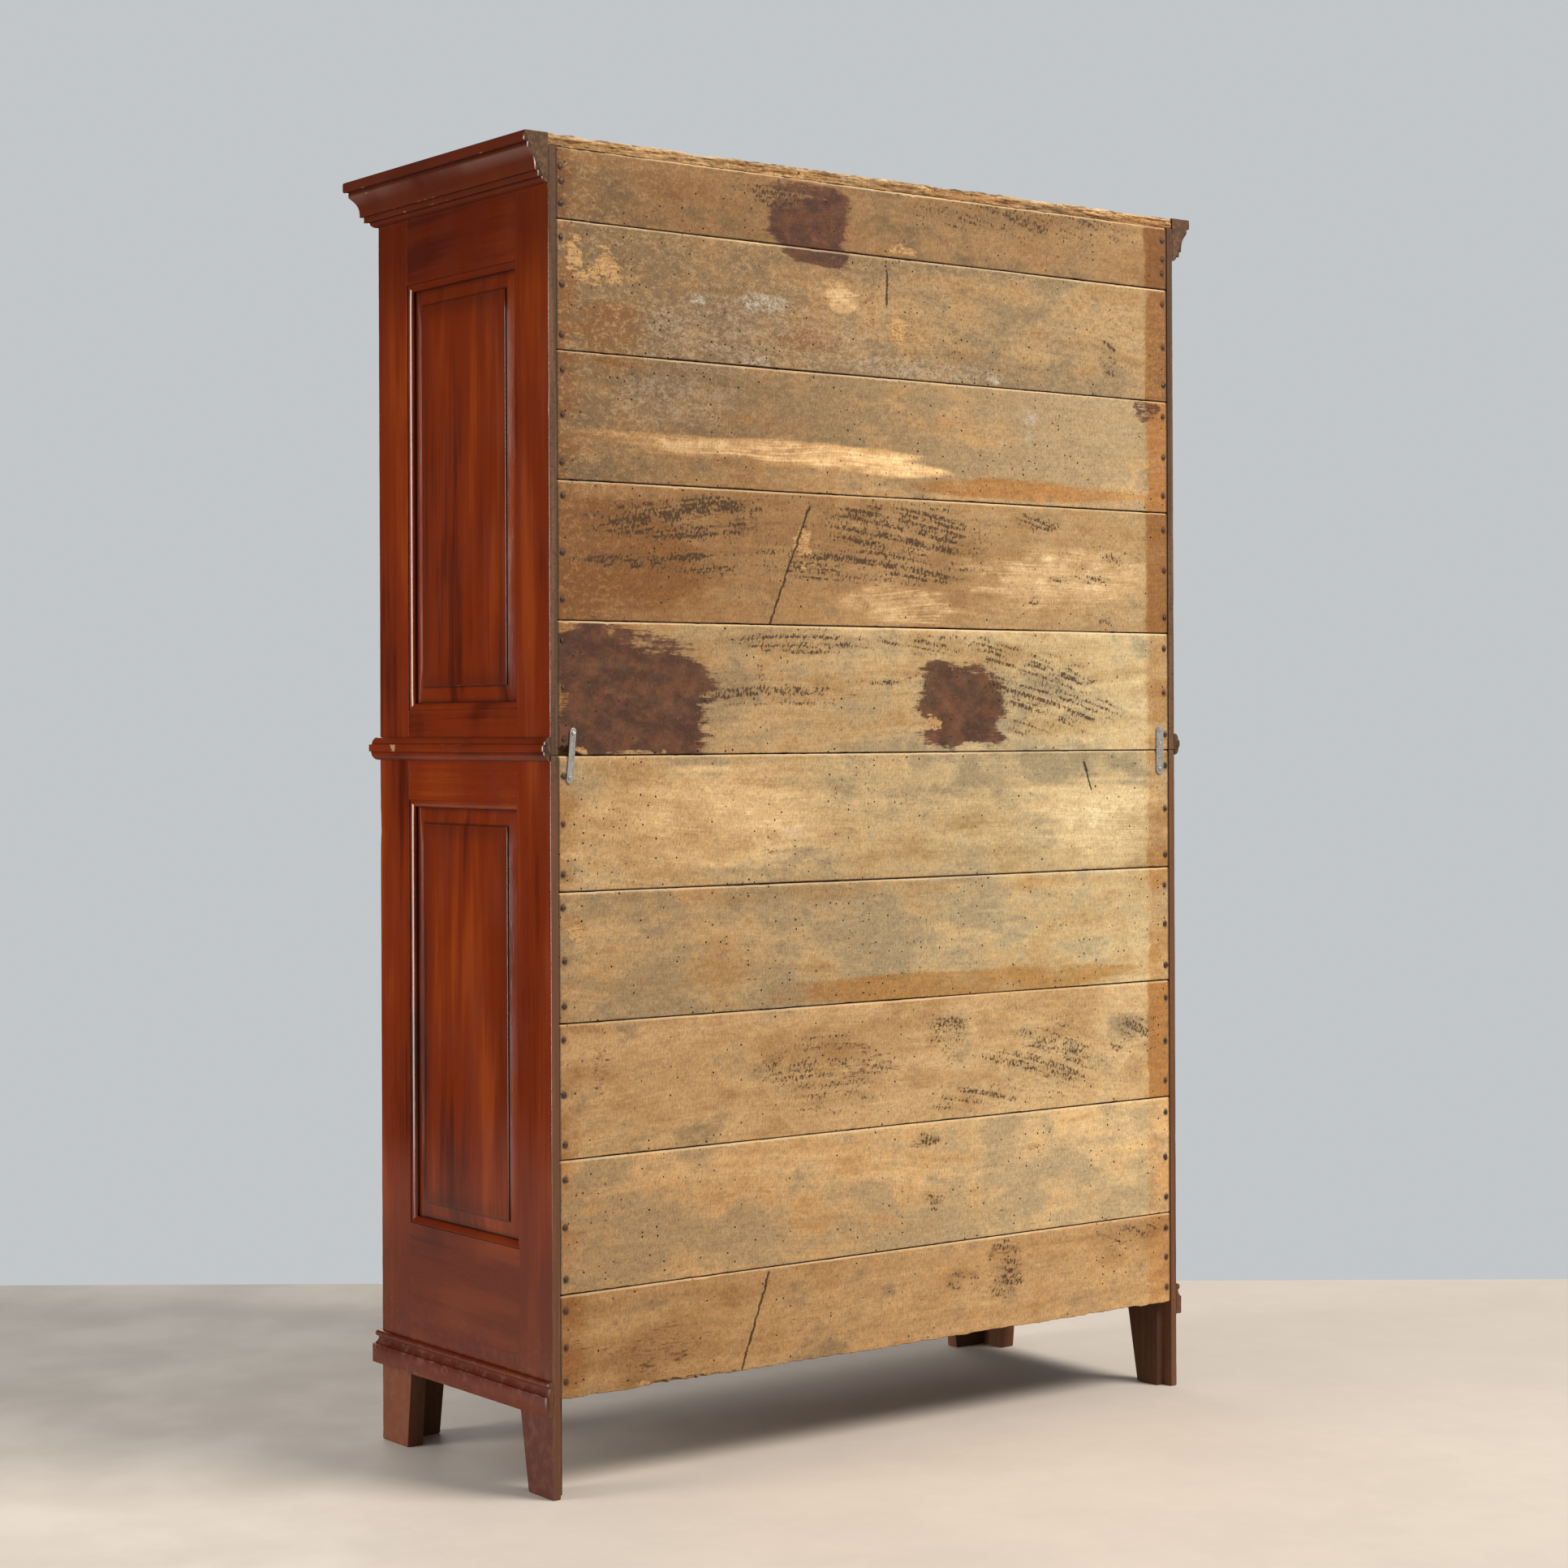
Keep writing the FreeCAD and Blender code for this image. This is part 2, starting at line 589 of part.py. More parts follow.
def lock_bolt(opening):
    """Flat bolt, drawn back, with a slot for the stud and a talon for the key."""
    mid = lock_height(opening)
    x0 = DOOR_FREE_EDGE + LOCK_EDGE
    y0 = DOOR_INNER + LOCK_BOLT_BACK
    y1 = y0 + LOCK_BOLT_THICK
    low = mid - LOCK_BOLT_HEIGHT / 2
    bolt = box(x0, x0 + LOCK_BOLT_LENGTH, y0, y1, low, mid + LOCK_BOLT_HEIGHT / 2)
    stud_x = x0 + LOCK_BOLT_LENGTH / 2
    r = LOCK_STUD_RADIUS + LOCK_PLAY
    slot = box(stud_x - r, stud_x + LOCK_TRAVEL + r, y0 - CUT_PAST, y1 + CUT_PAST, mid - r, mid + r)
    talon_x = key_axis(opening)[0] + LOCK_TRAVEL / 2
    half = TALON_WIDTH / 2
    talon = box(talon_x - half, talon_x + half, y0 - CUT_PAST, y1 + CUT_PAST,
                low - CUT_PAST, low + TALON_DEPTH)
    return bolt.cut([slot, talon])


def key(opening):
    """Key in the lock: bow, collar, stem and bit, the bit standing in the bolt's talon."""
    x, z = key_axis(opening)
    back = DOOR_INNER + LOCK_BOLT_BACK + LOCK_BOLT_THICK
    bow_y = Y_FRONT - ESCUTCHEON_THICK - KEY_STEM
    collar_y = Y_FRONT - ESCUTCHEON_THICK - KEY_PLAY - KEY_COLLAR_LENGTH
    stem = rod(KEY_RADIUS, V(x, bow_y, z), V(0, 1, 0), back - bow_y)
    collar = rod(KEY_COLLAR_RADIUS, V(x, collar_y, z), V(0, 1, 0), KEY_COLLAR_LENGTH)
    bow_side = V(x - KEY_BOW_WIRE, bow_y - KEY_BOW_RADIUS, z)
    bow = rod(KEY_BOW_RADIUS + KEY_BOW_WIRE, bow_side, V(1, 0, 0), 2 * KEY_BOW_WIRE)
    bow = bow.cut(rod(KEY_BOW_RADIUS - KEY_BOW_WIRE, bow_side, V(1, 0, 0), 2 * KEY_BOW_WIRE))
    half = KEY_BIT_WIDTH / 2
    bit = box(x - half, x + half, DOOR_INNER + LOCK_BOLT_BACK + KEY_BIT_MARGIN, back - KEY_BIT_MARGIN,
              z, z + KEY_BIT_REACH)
    whole = stem.fuse([collar, bow, bit])
    whole.rotate(V(x, 0, z), V(0, -1, 0), -KEY_TURN / 2)
    return whole


def keyhole(opening):
    """Round hole with a slot below it, through the door and its escutcheon."""
    x, z = key_axis(opening)
    half = KEYHOLE_WIDTH / 2
    y0, y1 = Y_FRONT - ESCUTCHEON_THICK - CUT_PAST, DOOR_INNER + CUT_PAST
    hole = bore(KEY_RADIUS + KEY_PLAY, V(x, y0, z), V(0, 1, 0), y1 - y0)
    return hole.fuse(box(x - half, x + half, y0, y1, z - KEYHOLE_DROP, z))


def escutcheon(opening):
    """Plate round the keyhole, with clipped corners."""
    x, z = key_axis(opening)
    w, h, clip = ESCUTCHEON_WIDTH / 2, ESCUTCHEON_HEIGHT / 2, ESCUTCHEON_CORNER
    quarter = [(w, h - clip), (w - clip, h)]
    path = [(x + a, z + b) for a, b in quarter]
    path += [(x - a, z + b) for a, b in quarter[::-1]]
    path += [(x - a, z - b) for a, b in quarter]
    path += [(x + a, z - b) for a, b in quarter[::-1]]
    plate = front_prism(path, Y_FRONT - ESCUTCHEON_THICK, Y_FRONT)
    return plate.cut(keyhole(opening))


def slide_axis():
    """Where a slide bolt's axis crosses the plan."""
    return -(DOOR_FREE_EDGE + SLIDE_INSET), DOOR_INNER + SLIDE_PLATE_THICK + SLIDE_PLAY + SLIDE_RADIUS


def slide_bolt(opening):
    """Plate with two staples on the left door's inner face, and the bolt, drawn down."""
    x, y = slide_axis()
    door_top = opening[1] - DOOR_GAP
    top = door_top - SLIDE_PLATE_DROP
    low = top - SLIDE_PLATE_HEIGHT
    half = SLIDE_PLATE_WIDTH / 2
    plate_back = DOOR_INNER + SLIDE_PLATE_THICK
    plate = box(x - half, x + half, DOOR_INNER, plate_back, low, top)
    grip = SLIDE_RADIUS + SLIDE_PLAY + STAPLE_WALL
    staples = []
    for z in (low, top - STAPLE_HEIGHT):
        staples.append(box(x - grip, x + grip, plate_back, y + grip, z, z + STAPLE_HEIGHT))
    plate = plate.fuse(staples)
    plate = plate.cut(bore(SLIDE_RADIUS + SLIDE_PLAY, V(x, y, low), V(0, 0, 1), SLIDE_PLATE_HEIGHT))
    bolt_low = low - SLIDE_TAIL
    bolt = rod(SLIDE_RADIUS, V(x, y, bolt_low), V(0, 0, 1), door_top - SLIDE_TIP_DROP - bolt_low)
    knob_z = (low + top) / 2 - SLIDE_TRAVEL / 2
    knob = rod(KNOB_RADIUS, V(x, y, knob_z), V(0, 1, 0), KNOB_REACH)
    return plate, bolt.fuse(knob)


def mending_plate(x, width, tilt, holes):
    """Flat steel strip across the joint of the bodies, with its screws."""
    face = Y_BOARD_FACE + PLATE_THICK
    half = PLATE_LENGTH / 2
    strip = box(x - width / 2, x + width / 2, Y_BOARD_FACE, face, LOWER_TOP - half, LOWER_TOP + half)
    screws = [screw(x, LOWER_TOP + offset, face) for offset in holes]
    for shape in [strip] + screws:
        shape.rotate(V(x, 0, LOWER_TOP), V(0, 1, 0), tilt)
    return strip.cut(screws), screws


# Floors, lower top and roof
floor_tops = {
    "lower_floor": LOWER_OPENING[0] + FLOOR_LIP,
    "lower_top": LOWER_TOP,
    "upper_floor": UPPER_OPENING[0] + FLOOR_LIP,
}
floor_reach = X_IN + HOUSING_DEPTH
floors = []
for name, floor_top in floor_tops.items():
    floor = box(-floor_reach, floor_reach, Y_INNER_FRONT, Y_INNER_BACK, floor_top - FLOOR_THICK, floor_top)
    floors.append(floor)
    nodes[name] = [floor]
nodes["roof_board"] = [box(-X_OUT, X_OUT, Y_FRONT, Y_BACK, UPPER_TOP, TOTAL_HEIGHT)]

# Mending plates and their screws
end_hole = PLATE_LENGTH / 2 - PLATE_END_HOLE
middle_hole = PLATE_LENGTH / 2 - PLATE_MIDDLE_HOLE
right_plate, right_screws = mending_plate(X_BOARD_END - RIGHT_PLATE_INSET, RIGHT_PLATE_WIDTH,
                                          -RIGHT_PLATE_TILT, [-end_hole, end_hole])
left_plate, left_screws = mending_plate(LEFT_PLATE_INSET - X_BOARD_END, LEFT_PLATE_WIDTH, 0,
                                        [-end_hole, -middle_hole, middle_hole, end_hole])
nodes["mending_plates"] = [right_plate, left_plate]
nodes["plate_screws"] = right_screws + left_screws

# Back boards and their nails
right_nails = []
board_number = 0
for spans in back_board_spans().values():
    for low, high in spans:
        board_number += 1
        end_nails = [nail(x, z) for x, z in nail_places(low, high)]
        right_nails += end_nails
        board = box(-X_BOARD_END, X_BOARD_END, Y_INNER_BACK, Y_BOARD_FACE, low, high)
        board = board.cut(end_nails + [mirrored(n) for n in end_nails] + nodes["plate_screws"])
        nodes["back_board_%02d" % board_number] = [board]
nodes["back_nails"] = right_nails + [mirrored(n) for n in right_nails]
for name in floor_tops:
    nodes[name] = [nodes[name][0].cut(nodes["back_nails"])]

# Sides: the rear stile is rebated for the back boards, and the floors are housed in the frames
side_specs = {
    "lower": (FOOT_HEIGHT, LOWER_TOP, (SIDE_LOWER_BOTTOM_RAIL, SIDE_LOWER_TOP_RAIL),
              (FRONT_FOOT_TAPER, REAR_FOOT_TAPER)),
    "upper": (LOWER_TOP, UPPER_TOP, (SIDE_UPPER_BOTTOM_RAIL, SIDE_UPPER_TOP_RAIL), None),
}
rebate = box(X_IN - CUT_PAST, X_OUT - REBATE_LIP, Y_INNER_BACK, Y_BACK + CUT_PAST, -CUT_PAST, TOTAL_HEIGHT)
for body, (z0, z1, rails, tapers) in side_specs.items():
    members, panel = framed_panel(Y_FRONT, Y_BACK, z0, z1, SIDE_THICK, SIDE_STILE, rails, tapers)
    members = [turned_to_side(member).cut(floors) for member in members]
    members[1] = members[1].cut([rebate] + right_nails)
    panel = turned_to_side(panel)
    nodes["side_frame_%s_right" % body] = members
    nodes["side_frame_%s_left" % body] = [mirrored(member) for member in members]
    nodes["side_panel_%s_right" % body] = [panel]
    nodes["side_panel_%s_left" % body] = [mirrored(panel)]

# Hinges, by body, for the right doors
hinges = {body: [hinge(z) for z in hinge_heights(opening)] for body, opening in OPENINGS.items()}
carcass_leaves = [parts[0] for body in hinges for parts in hinges[body]]
pins = [parts[2] for body in hinges for parts in hinges[body]]
nodes["hinge_leaves_carcass"] = carcass_leaves + [mirrored(leaf) for leaf in carcass_leaves]
nodes["hinge_pins"] = pins + [mirrored(pin) for pin in pins]
for body in hinges:
    door_leaves = [parts[1] for parts in hinges[body]]
    nodes["hinge_leaves_%s_right" % body] = door_leaves
    nodes["hinge_leaves_%s_left" % body] = [mirrored(leaf) for leaf in door_leaves]

# Front frames: stiles beside the sides, the lower ones running down as feet, and rails tenoned in
front_specs = {
    "lower": (FOOT_HEIGHT, LOWER_TOP, [(X_IN, 0), (X_OPEN + FACE_FOOT_TAPER, 0)]),
    "upper": (LOWER_TOP, UPPER_TOP, [(X_IN, LOWER_TOP)]),
}
for body, (z0, z1, foot) in front_specs.items():
    rails = []
    mortises = []
    for low, high in ((z0, OPENINGS[body][0]), (OPENINGS[body][1], z1)):
        rail = box(-X_OPEN, X_OPEN, Y_FRONT, Y_INNER_FRONT, low, high)
        rails.append(rail.fuse(rail_tenons(low, high, 0)))
        mortises.append(rail_tenons(low, high, TENON_ROOM))
    stile = front_prism([(X_OPEN, z0), (X_OPEN, z1), (X_IN, z1)] + foot, Y_FRONT, Y_INNER_FRONT)
    recesses = [parts[3][0] for parts in hinges[body]]
    stile = stile.cut(mortises + recesses)
    nodes["front_frame_%s" % body] = [stile, mirrored(stile)] + rails

# Doors with their locks, keys and slide bolts
for body, opening in OPENINGS.items():
    members, panel = framed_panel(DOOR_FREE_EDGE, DOOR_HINGE_EDGE, opening[0] + DOOR_GAP,
                                  opening[1] - DOOR_GAP, DOOR_THICK, DOOR_STILE, (DOOR_RAIL, DOOR_RAIL))
    for piece in members + [panel]:
        piece.translate(V(0, Y_FRONT, 0))
    members[1] = members[1].cut([parts[3][1] for parts in hinges[body]])
    nodes["door_frame_%s_left" % body] = [mirrored(member) for member in members]
    nodes["door_panel_%s_left" % body] = [mirrored(panel)]
    members[0] = members[0].cut(keyhole(opening))
    nodes["door_frame_%s_right" % body] = members
    nodes["door_panel_%s_right" % body] = [panel]
    nodes["lock_case_%s" % body] = [lock_case(opening)]
    nodes["lock_bolt_%s" % body] = [lock_bolt(opening)]
    nodes["key_%s" % body] = [key(opening)]
    nodes["escutcheon_%s" % body] = [escutcheon(opening)]
    plate, bolt = slide_bolt(opening)
    nodes["slide_bolt_plate_%s" % body] = [plate]
    nodes["slide_bolt_%s" % body] = [bolt]

# Shelves on cleats
shelves = []
cleats = []
for shelf_top in [LOWER_SHELF_TOP] + UPPER_SHELF_TOPS:
    shelf_low = shelf_top - SHELF_THICK
    shelf_reach = X_IN - SHELF_ROOM
    shelves.append(box(-shelf_reach, shelf_reach, Y_INNER_FRONT + SHELF_SETBACK, Y_INNER_BACK - SHELF_ROOM,
                       shelf_low, shelf_top))
    cleat = box(X_IN - CLEAT_WIDTH, X_IN, Y_INNER_FRONT, Y_INNER_BACK, shelf_low - CLEAT_HEIGHT, shelf_low)
    cleats += [cleat, mirrored(cleat)]
nodes["shelves"] = shelves
nodes["shelf_cleats"] = cleats

# Mouldings round the front and the sides
cornice = moulding_run(cornice_path())
for place, length in zip(("front", "left", "right"), cornice):
    nodes["cornice_%s" % place] = [length]
nodes["waist_moulding"] = list(moulding_run(waist_path()))
nodes["plinth_moulding"] = list(moulding_run(plinth_path()))

# Flush faces that the joints left in pieces become one
for name, solids in nodes.items():
    nodes[name] = [solid.removeSplitter() for solid in solids]

os.makedirs("parts", exist_ok=True)
for name, solids in nodes.items():
    shape = solids[0] if len(solids) == 1 else Part.makeCompound(solids)
    shape.exportStep("parts/%s.step" % name)
print("%d nodes, %d solids" % (len(nodes), sum(len(solids) for solids in nodes.values())))
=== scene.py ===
import math

import bpy
import numpy as np
from bpy.props import FloatProperty, FloatVectorProperty, PointerProperty
from mathutils import Matrix, Vector


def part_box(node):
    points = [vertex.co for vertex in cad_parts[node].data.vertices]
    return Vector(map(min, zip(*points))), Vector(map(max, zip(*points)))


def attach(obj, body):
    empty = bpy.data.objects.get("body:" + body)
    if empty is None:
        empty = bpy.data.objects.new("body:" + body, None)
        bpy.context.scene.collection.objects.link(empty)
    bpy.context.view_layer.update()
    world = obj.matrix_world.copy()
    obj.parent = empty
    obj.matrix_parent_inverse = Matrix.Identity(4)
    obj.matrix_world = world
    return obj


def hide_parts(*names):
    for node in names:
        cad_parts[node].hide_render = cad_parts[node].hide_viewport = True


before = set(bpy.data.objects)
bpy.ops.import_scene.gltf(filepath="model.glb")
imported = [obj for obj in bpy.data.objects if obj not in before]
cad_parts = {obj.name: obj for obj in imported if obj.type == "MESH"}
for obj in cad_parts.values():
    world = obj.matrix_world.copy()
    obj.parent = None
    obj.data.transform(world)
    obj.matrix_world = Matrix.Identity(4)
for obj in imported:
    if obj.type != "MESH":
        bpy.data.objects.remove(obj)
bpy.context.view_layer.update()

bl_info = {
    "name": "Wardrobe in two bodies",
    "version": (1, 0, 0),
    "blender": (4, 5, 0),
    "location": "3D View > Sidebar > Wardrobe",
    "description": "Old panelled wardrobe, seen from its rough boarded back",
    "category": "Object",
}

# Outer planes of the case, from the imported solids
SIDE_LOW, SIDE_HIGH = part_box("side_frame_lower_right")
X_IN, X_OUT = SIDE_LOW.x, SIDE_HIGH.x
Y_FRONT, Y_BACK = SIDE_LOW.y, SIDE_HIGH.y
LOWER_TOP = SIDE_HIGH.z
UPPER_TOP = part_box("side_frame_upper_right")[1].z
ROOF_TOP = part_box("roof_board")[1].z
FOOT_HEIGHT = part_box("plinth_moulding")[0].z
# Band of the cornice's cove that gets a painted highlight
COVE_TOP, COVE_LOW = ROOF_TOP - 0.030, ROOF_TOP - 0.052

# Back boards from the bottom up, and the heights at which their inner edges meet
BOARD_NODES = ["back_board_%02d" % number for number in range(1, 11)]
BOARDS = [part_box(node) for node in BOARD_NODES]
BOARD_INNER, BOARD_FACE = (corner.y for corner in BOARDS[4])
BOARD_JOINTS = [BOARDS[0][0].z, *((lower[1].z + upper[0].z) / 2 for lower, upper in zip(BOARDS, BOARDS[1:])),
                BOARDS[-1][1].z]

# Line of the hinge pins
PIN_RADIUS = 0.003
HINGE_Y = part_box("hinge_pins")[0].y + PIN_RADIUS
HINGE_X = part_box("hinge_pins")[1].x - PIN_RADIUS

SIDES = {"right": 1, "left": -1}
BODIES = ("lower", "upper")


def length(title, default, text):
    """Size in metres that a user may change."""
    return FloatProperty(name=title, description=text, default=default, min=0.0, unit="LENGTH")


def colour(title, default, text):
    """Linear colour that a user may change."""
    return FloatVectorProperty(name=title, description=text, default=default, size=3, subtype="COLOR",
                               min=0.0, max=1.0)


def share(title, default, text):
    """Amount from nothing to all."""
    return FloatProperty(name=title, description=text, default=default, min=0.0, max=1.0, subtype="FACTOR")


def angle(title, degrees, text):
    """Turn that a user may change, given here in degrees."""
    return FloatProperty(name=title, description=text, default=math.radians(degrees), subtype="ANGLE",
                         unit="ROTATION")


def power(title, default, text):
    """Strength of a soft light in watts."""
    return FloatProperty(name=title, description=text, default=default, subtype="POWER", unit="POWER")


class WardrobeSizes(bpy.types.PropertyGroup):
    """Sizes of the joinery."""

    side_stile: length("Side stile", 0.110, "Width of the side frames' stiles")
    lower_bottom_rail: length("Lower bottom rail", 0.285, "Height of the lower side's bottom rail")
    lower_top_rail: length("Lower top rail", 0.086, "Height of the lower side's top rail")
    upper_bottom_rail: length("Upper bottom rail", 0.085, "Height of the upper side's bottom rail")
    upper_top_rail: length("Upper top rail", 0.193, "Height of the upper side's top rail")
    front_foot_taper: length("Front foot taper", 0.016, "How much a front foot narrows")
    rear_foot_taper: length("Rear foot taper", 0.027, "How much a rear foot narrows")
    face_foot_taper: length("Face foot taper", 0.015, "How much a front foot narrows in the front view")
    front_stile: length("Front stile", 0.091, "Width of the front stiles")
    front_lower_bottom: length("Front lower bottom rail", 0.185, "Height of the lower front's bottom rail")
    front_lower_top: length("Front lower top rail", 0.061, "Height of the lower front's top rail")
    front_upper_bottom: length("Front upper bottom rail", 0.054, "Height of the upper front's bottom rail")
    front_upper_top: length("Front upper top rail", 0.133, "Height of the upper front's top rail")
    door_member: length("Door member", 0.090, "Width of a door's stiles and rails")
    rebate_lip: length("Rebate lip", 0.016, "Wood left outside the back boards")
    stick_width: length("Stuck moulding width", 0.014, "Width of the moulding round a panel")
    stick_depth: length("Stuck moulding depth", 0.010, "Depth of the moulding round a panel")
    quirk_depth: length("Quirk depth", 0.002, "Depth of the step outside the moulding")
    quirk_width: length("Quirk width", 0.0015, "Width of the step outside the moulding")
    panel_setback: length("Panel setback", 0.012, "Depth of a panel's tongue below the frame's face")
    tongue: length("Tongue", 0.008, "Thickness and reach of a panel's tongue")
    bevel: length("Bevel width", 0.030, "Width of a panel's bevel")
    bevel_rise: length("Bevel rise", 0.004, "How far the bevel rises to the field")
    field_step: length("Field step", 0.003, "Step from the bevel to the field")
    arris: length("Arris", 0.0016, "Radius of a worn edge")
    chip: length("Chip", 0.0045, "Depth of the chips knocked out of the edges")


class WardrobeFinish(bpy.types.PropertyGroup):
    """Colours of the woods and metals."""

    polish_dark: colour("Polish, dark", (0.042, 0.0050, 0.0010), "Dark streaks of the polished case")
    polish_mid: colour("Polish, middle", (0.098, 0.0125, 0.0018), "Main colour of the polished case")
    polish_light: colour("Polish, light", (0.150, 0.025, 0.0030), "Light streaks of the polished case")
    worn: colour("Worn edge", (0.26, 0.15, 0.085), "Bare wood where the polish has gone")
    bare: colour("Bare case wood", (0.080, 0.040, 0.020), "Unpolished faces of the case")
    board_light: colour("Boards, light", (0.62, 0.42, 0.205), "Clean face of the back boards")
    board_dark: colour("Boards, dark", (0.36, 0.205, 0.078), "Dark streaks of the back boards")
    olive: colour("Grey bloom", (0.300, 0.212, 0.112), "Weathered olive grey on the boards")
    orange: colour("Orange ends", (0.335, 0.155, 0.040), "Stain at the boards' ends")
    purple: colour("Dark patches", (0.062, 0.023, 0.014), "Purple brown patches on the boards")
    torn: colour("Torn wood", (0.52, 0.32, 0.14), "Fresh wood where a splinter has gone")
    inner: colour("Inside boards", (0.36, 0.20, 0.095), "Shelves, floors and cleats")
    iron: colour("Iron", (0.060, 0.050, 0.043), "Hinges, locks and nails")
    rust: colour("Rust", (0.15, 0.055, 0.02), "Rust on the iron")
    zinc: colour("Zinc", (0.48, 0.47, 0.45), "Mending plates and screws")
    brass: colour("Brass", (0.42, 0.28, 0.10), "Keys and escutcheons")


class WardrobeStage(bpy.types.PropertyGroup):
    """Floor, light and camera."""

    camera_place: FloatVectorProperty(name="Camera place", description="Where the camera stands", size=3,
                                      default=(3.7132, 4.8877, 1.3737), subtype="TRANSLATION", unit="LENGTH")
    camera_turn: angle("Camera turn", 142.791, "Turn of the camera about the upright")
    camera_roll: angle("Camera roll", -0.233, "Tilt of the camera about its own line of sight")
    lens: FloatProperty(name="Lens", description="Focal length on a 36 mm sensor, in millimetres", default=69.54)
    shift: FloatProperty(name="Shift", description="Upward shift of the lens, in picture widths", default=-0.0338)
    floor_span: length("Floor span", 9.0, "Width of the floor across the line of sight")
    floor_far: length("Floor beyond", 1.41, "Reach of the floor beyond the wardrobe, along the line of sight")
    floor_near: length("Floor before", 5.0, "Reach of the floor towards the camera")
    floor: colour("Floor", (0.62, 0.553, 0.482), "Plain pale floor")
    sky: colour("Surroundings", (0.543, 0.568, 0.588), "Pale light from all round")
    sky_strength: FloatProperty(name="Surround strength", description="Strength of the light from all round",
                                default=1.0)
    sky_dim: share("Surround dimming", 0.96, "How much of the surroundings the gloss doesn't show")
    shade: share("Shade", 0.22, "How much of the surroundings the shadows don't get")
    lamp: colour("Lamp colour", (1.0, 0.94, 0.87), "Colour of the soft lights")
    key_power: power("Key light", 1060.0, "Power of the large soft light")
    fill_power: power("Side light", 50.0, "Power of the soft light beside the wardrobe")
    front_power: power("Front light", 70.0, "Power of the soft light before the doors")


def sizes():
    return bpy.context.scene.wardrobe_sizes


def finish():
    return bpy.context.scene.wardrobe_finish


# Shapes

LATTICE_TURNS = (127.1, 311.7, 74.7)
LATTICE_SPREAD = 43758.5453
ROUGH_SPAN = 1.7


def ramp(low, high, value):
    """Smooth step: 0 up to low, 1 from high, and an S curve between them."""
    t = np.clip((value - low) / (high - low), 0.0, 1.0)
    return t * t * (3.0 - 2.0 * t)


def lattice(i, j, seed):
    """Value from 0 to 1 at a lattice point: the fraction of a large multiple of a sine of its numbers."""
    by_i, by_j, by_seed = LATTICE_TURNS
    return np.modf(np.abs(np.sin(i * by_i + j * by_j + seed * by_seed)) * LATTICE_SPREAD)[0]


def noise(u, v, seed):
    """Value noise from -1 to 1: lattice values blended by smooth steps in both directions."""
    u, v = np.broadcast_arrays(np.asarray(u, float), np.asarray(v, float))
    i, j = np.floor(u), np.floor(v)
    a, b = ramp(0.0, 1.0, u - i), ramp(0.0, 1.0, v - j)
    low = lattice(i, j, seed) * (1 - a) + lattice(i + 1, j, seed) * a
    high = lattice(i, j + 1, seed) * (1 - a) + lattice(i + 1, j + 1, seed) * a
    return 2.0 * (low * (1 - b) + high * b) - 1.0


def rough(u, v, seed, layers=4):
    """Sum of noises, each twice as fine and half as strong as the one before."""
    total = 0.0
    for layer in range(layers):
        total = total + noise(u * 2 ** layer, v * 2 ** layer, seed + layer) / 2 ** layer
    return total / ROUGH_SPAN


def grain_shift(seed, kind, reach=4.0):
    """Random shift of the grain, so that no two pieces of wood share their figure."""
    return lattice(np.arange(3), seed, kind) * reach


def grained(points, along, seed, kind, reach=4.0):
    """Grain at a piece's points: along the wood, across it and in depth, with its random shift."""
    return points[..., [along, 2 - along, 1]] + grain_shift(seed, kind, reach)


def loft(rings, **marks):
    """Closed skin through rings of points: every ring joins the next, and flat caps close the two ends.

    rings is an array of rings by points by three. marks are values at the points, as arrays of rings by points, or
    one value for all.
    """
    count, around = rings.shape[:2]
    index = np.arange(count * around).reshape(count, around)
    ahead = np.roll(index, -1, axis=1)
    quads = np.stack([index[:-1], ahead[:-1], ahead[1:], index[1:]], axis=-1).reshape(-1, 4)
    caps = [index[0, ::-1], index[-1]]
    points = rings.reshape(-1, 3)
    a, b, c, d = (points[quads[:, k]] - points.mean(0) for k in range(4))
    if np.sum(a * np.cross(b, c)) + np.sum(a * np.cross(c, d)) < 0:
        quads = quads[:, ::-1]
        caps = [cap[::-1] for cap in caps]
    flat = {}
    for name, value in marks.items():
        value = np.asarray(value, float)
        if value.ndim == 3:
            flat[name] = np.broadcast_to(value, rings.shape).reshape(-1, 3)
        else:
            flat[name] = np.broadcast_to(value, (count, around)).reshape(-1)
    return {"points": points, "quads": quads, "caps": caps, "marks": flat}


def moved(part, matrix, shift=(0.0, 0.0, 0.0)):
    """Same skin set elsewhere by a matrix and a shift, turned right side out again if the matrix mirrors it."""
    matrix = np.asarray(matrix, float)
    part = dict(part)
    part["points"] = part["points"] @ matrix.T + np.asarray(shift, float)
    if np.linalg.det(matrix) < 0:
        part["quads"] = part["quads"][:, ::-1]
        part["caps"] = [cap[::-1] for cap in part["caps"]]
    return part


SHARP_ANGLE = 48.0


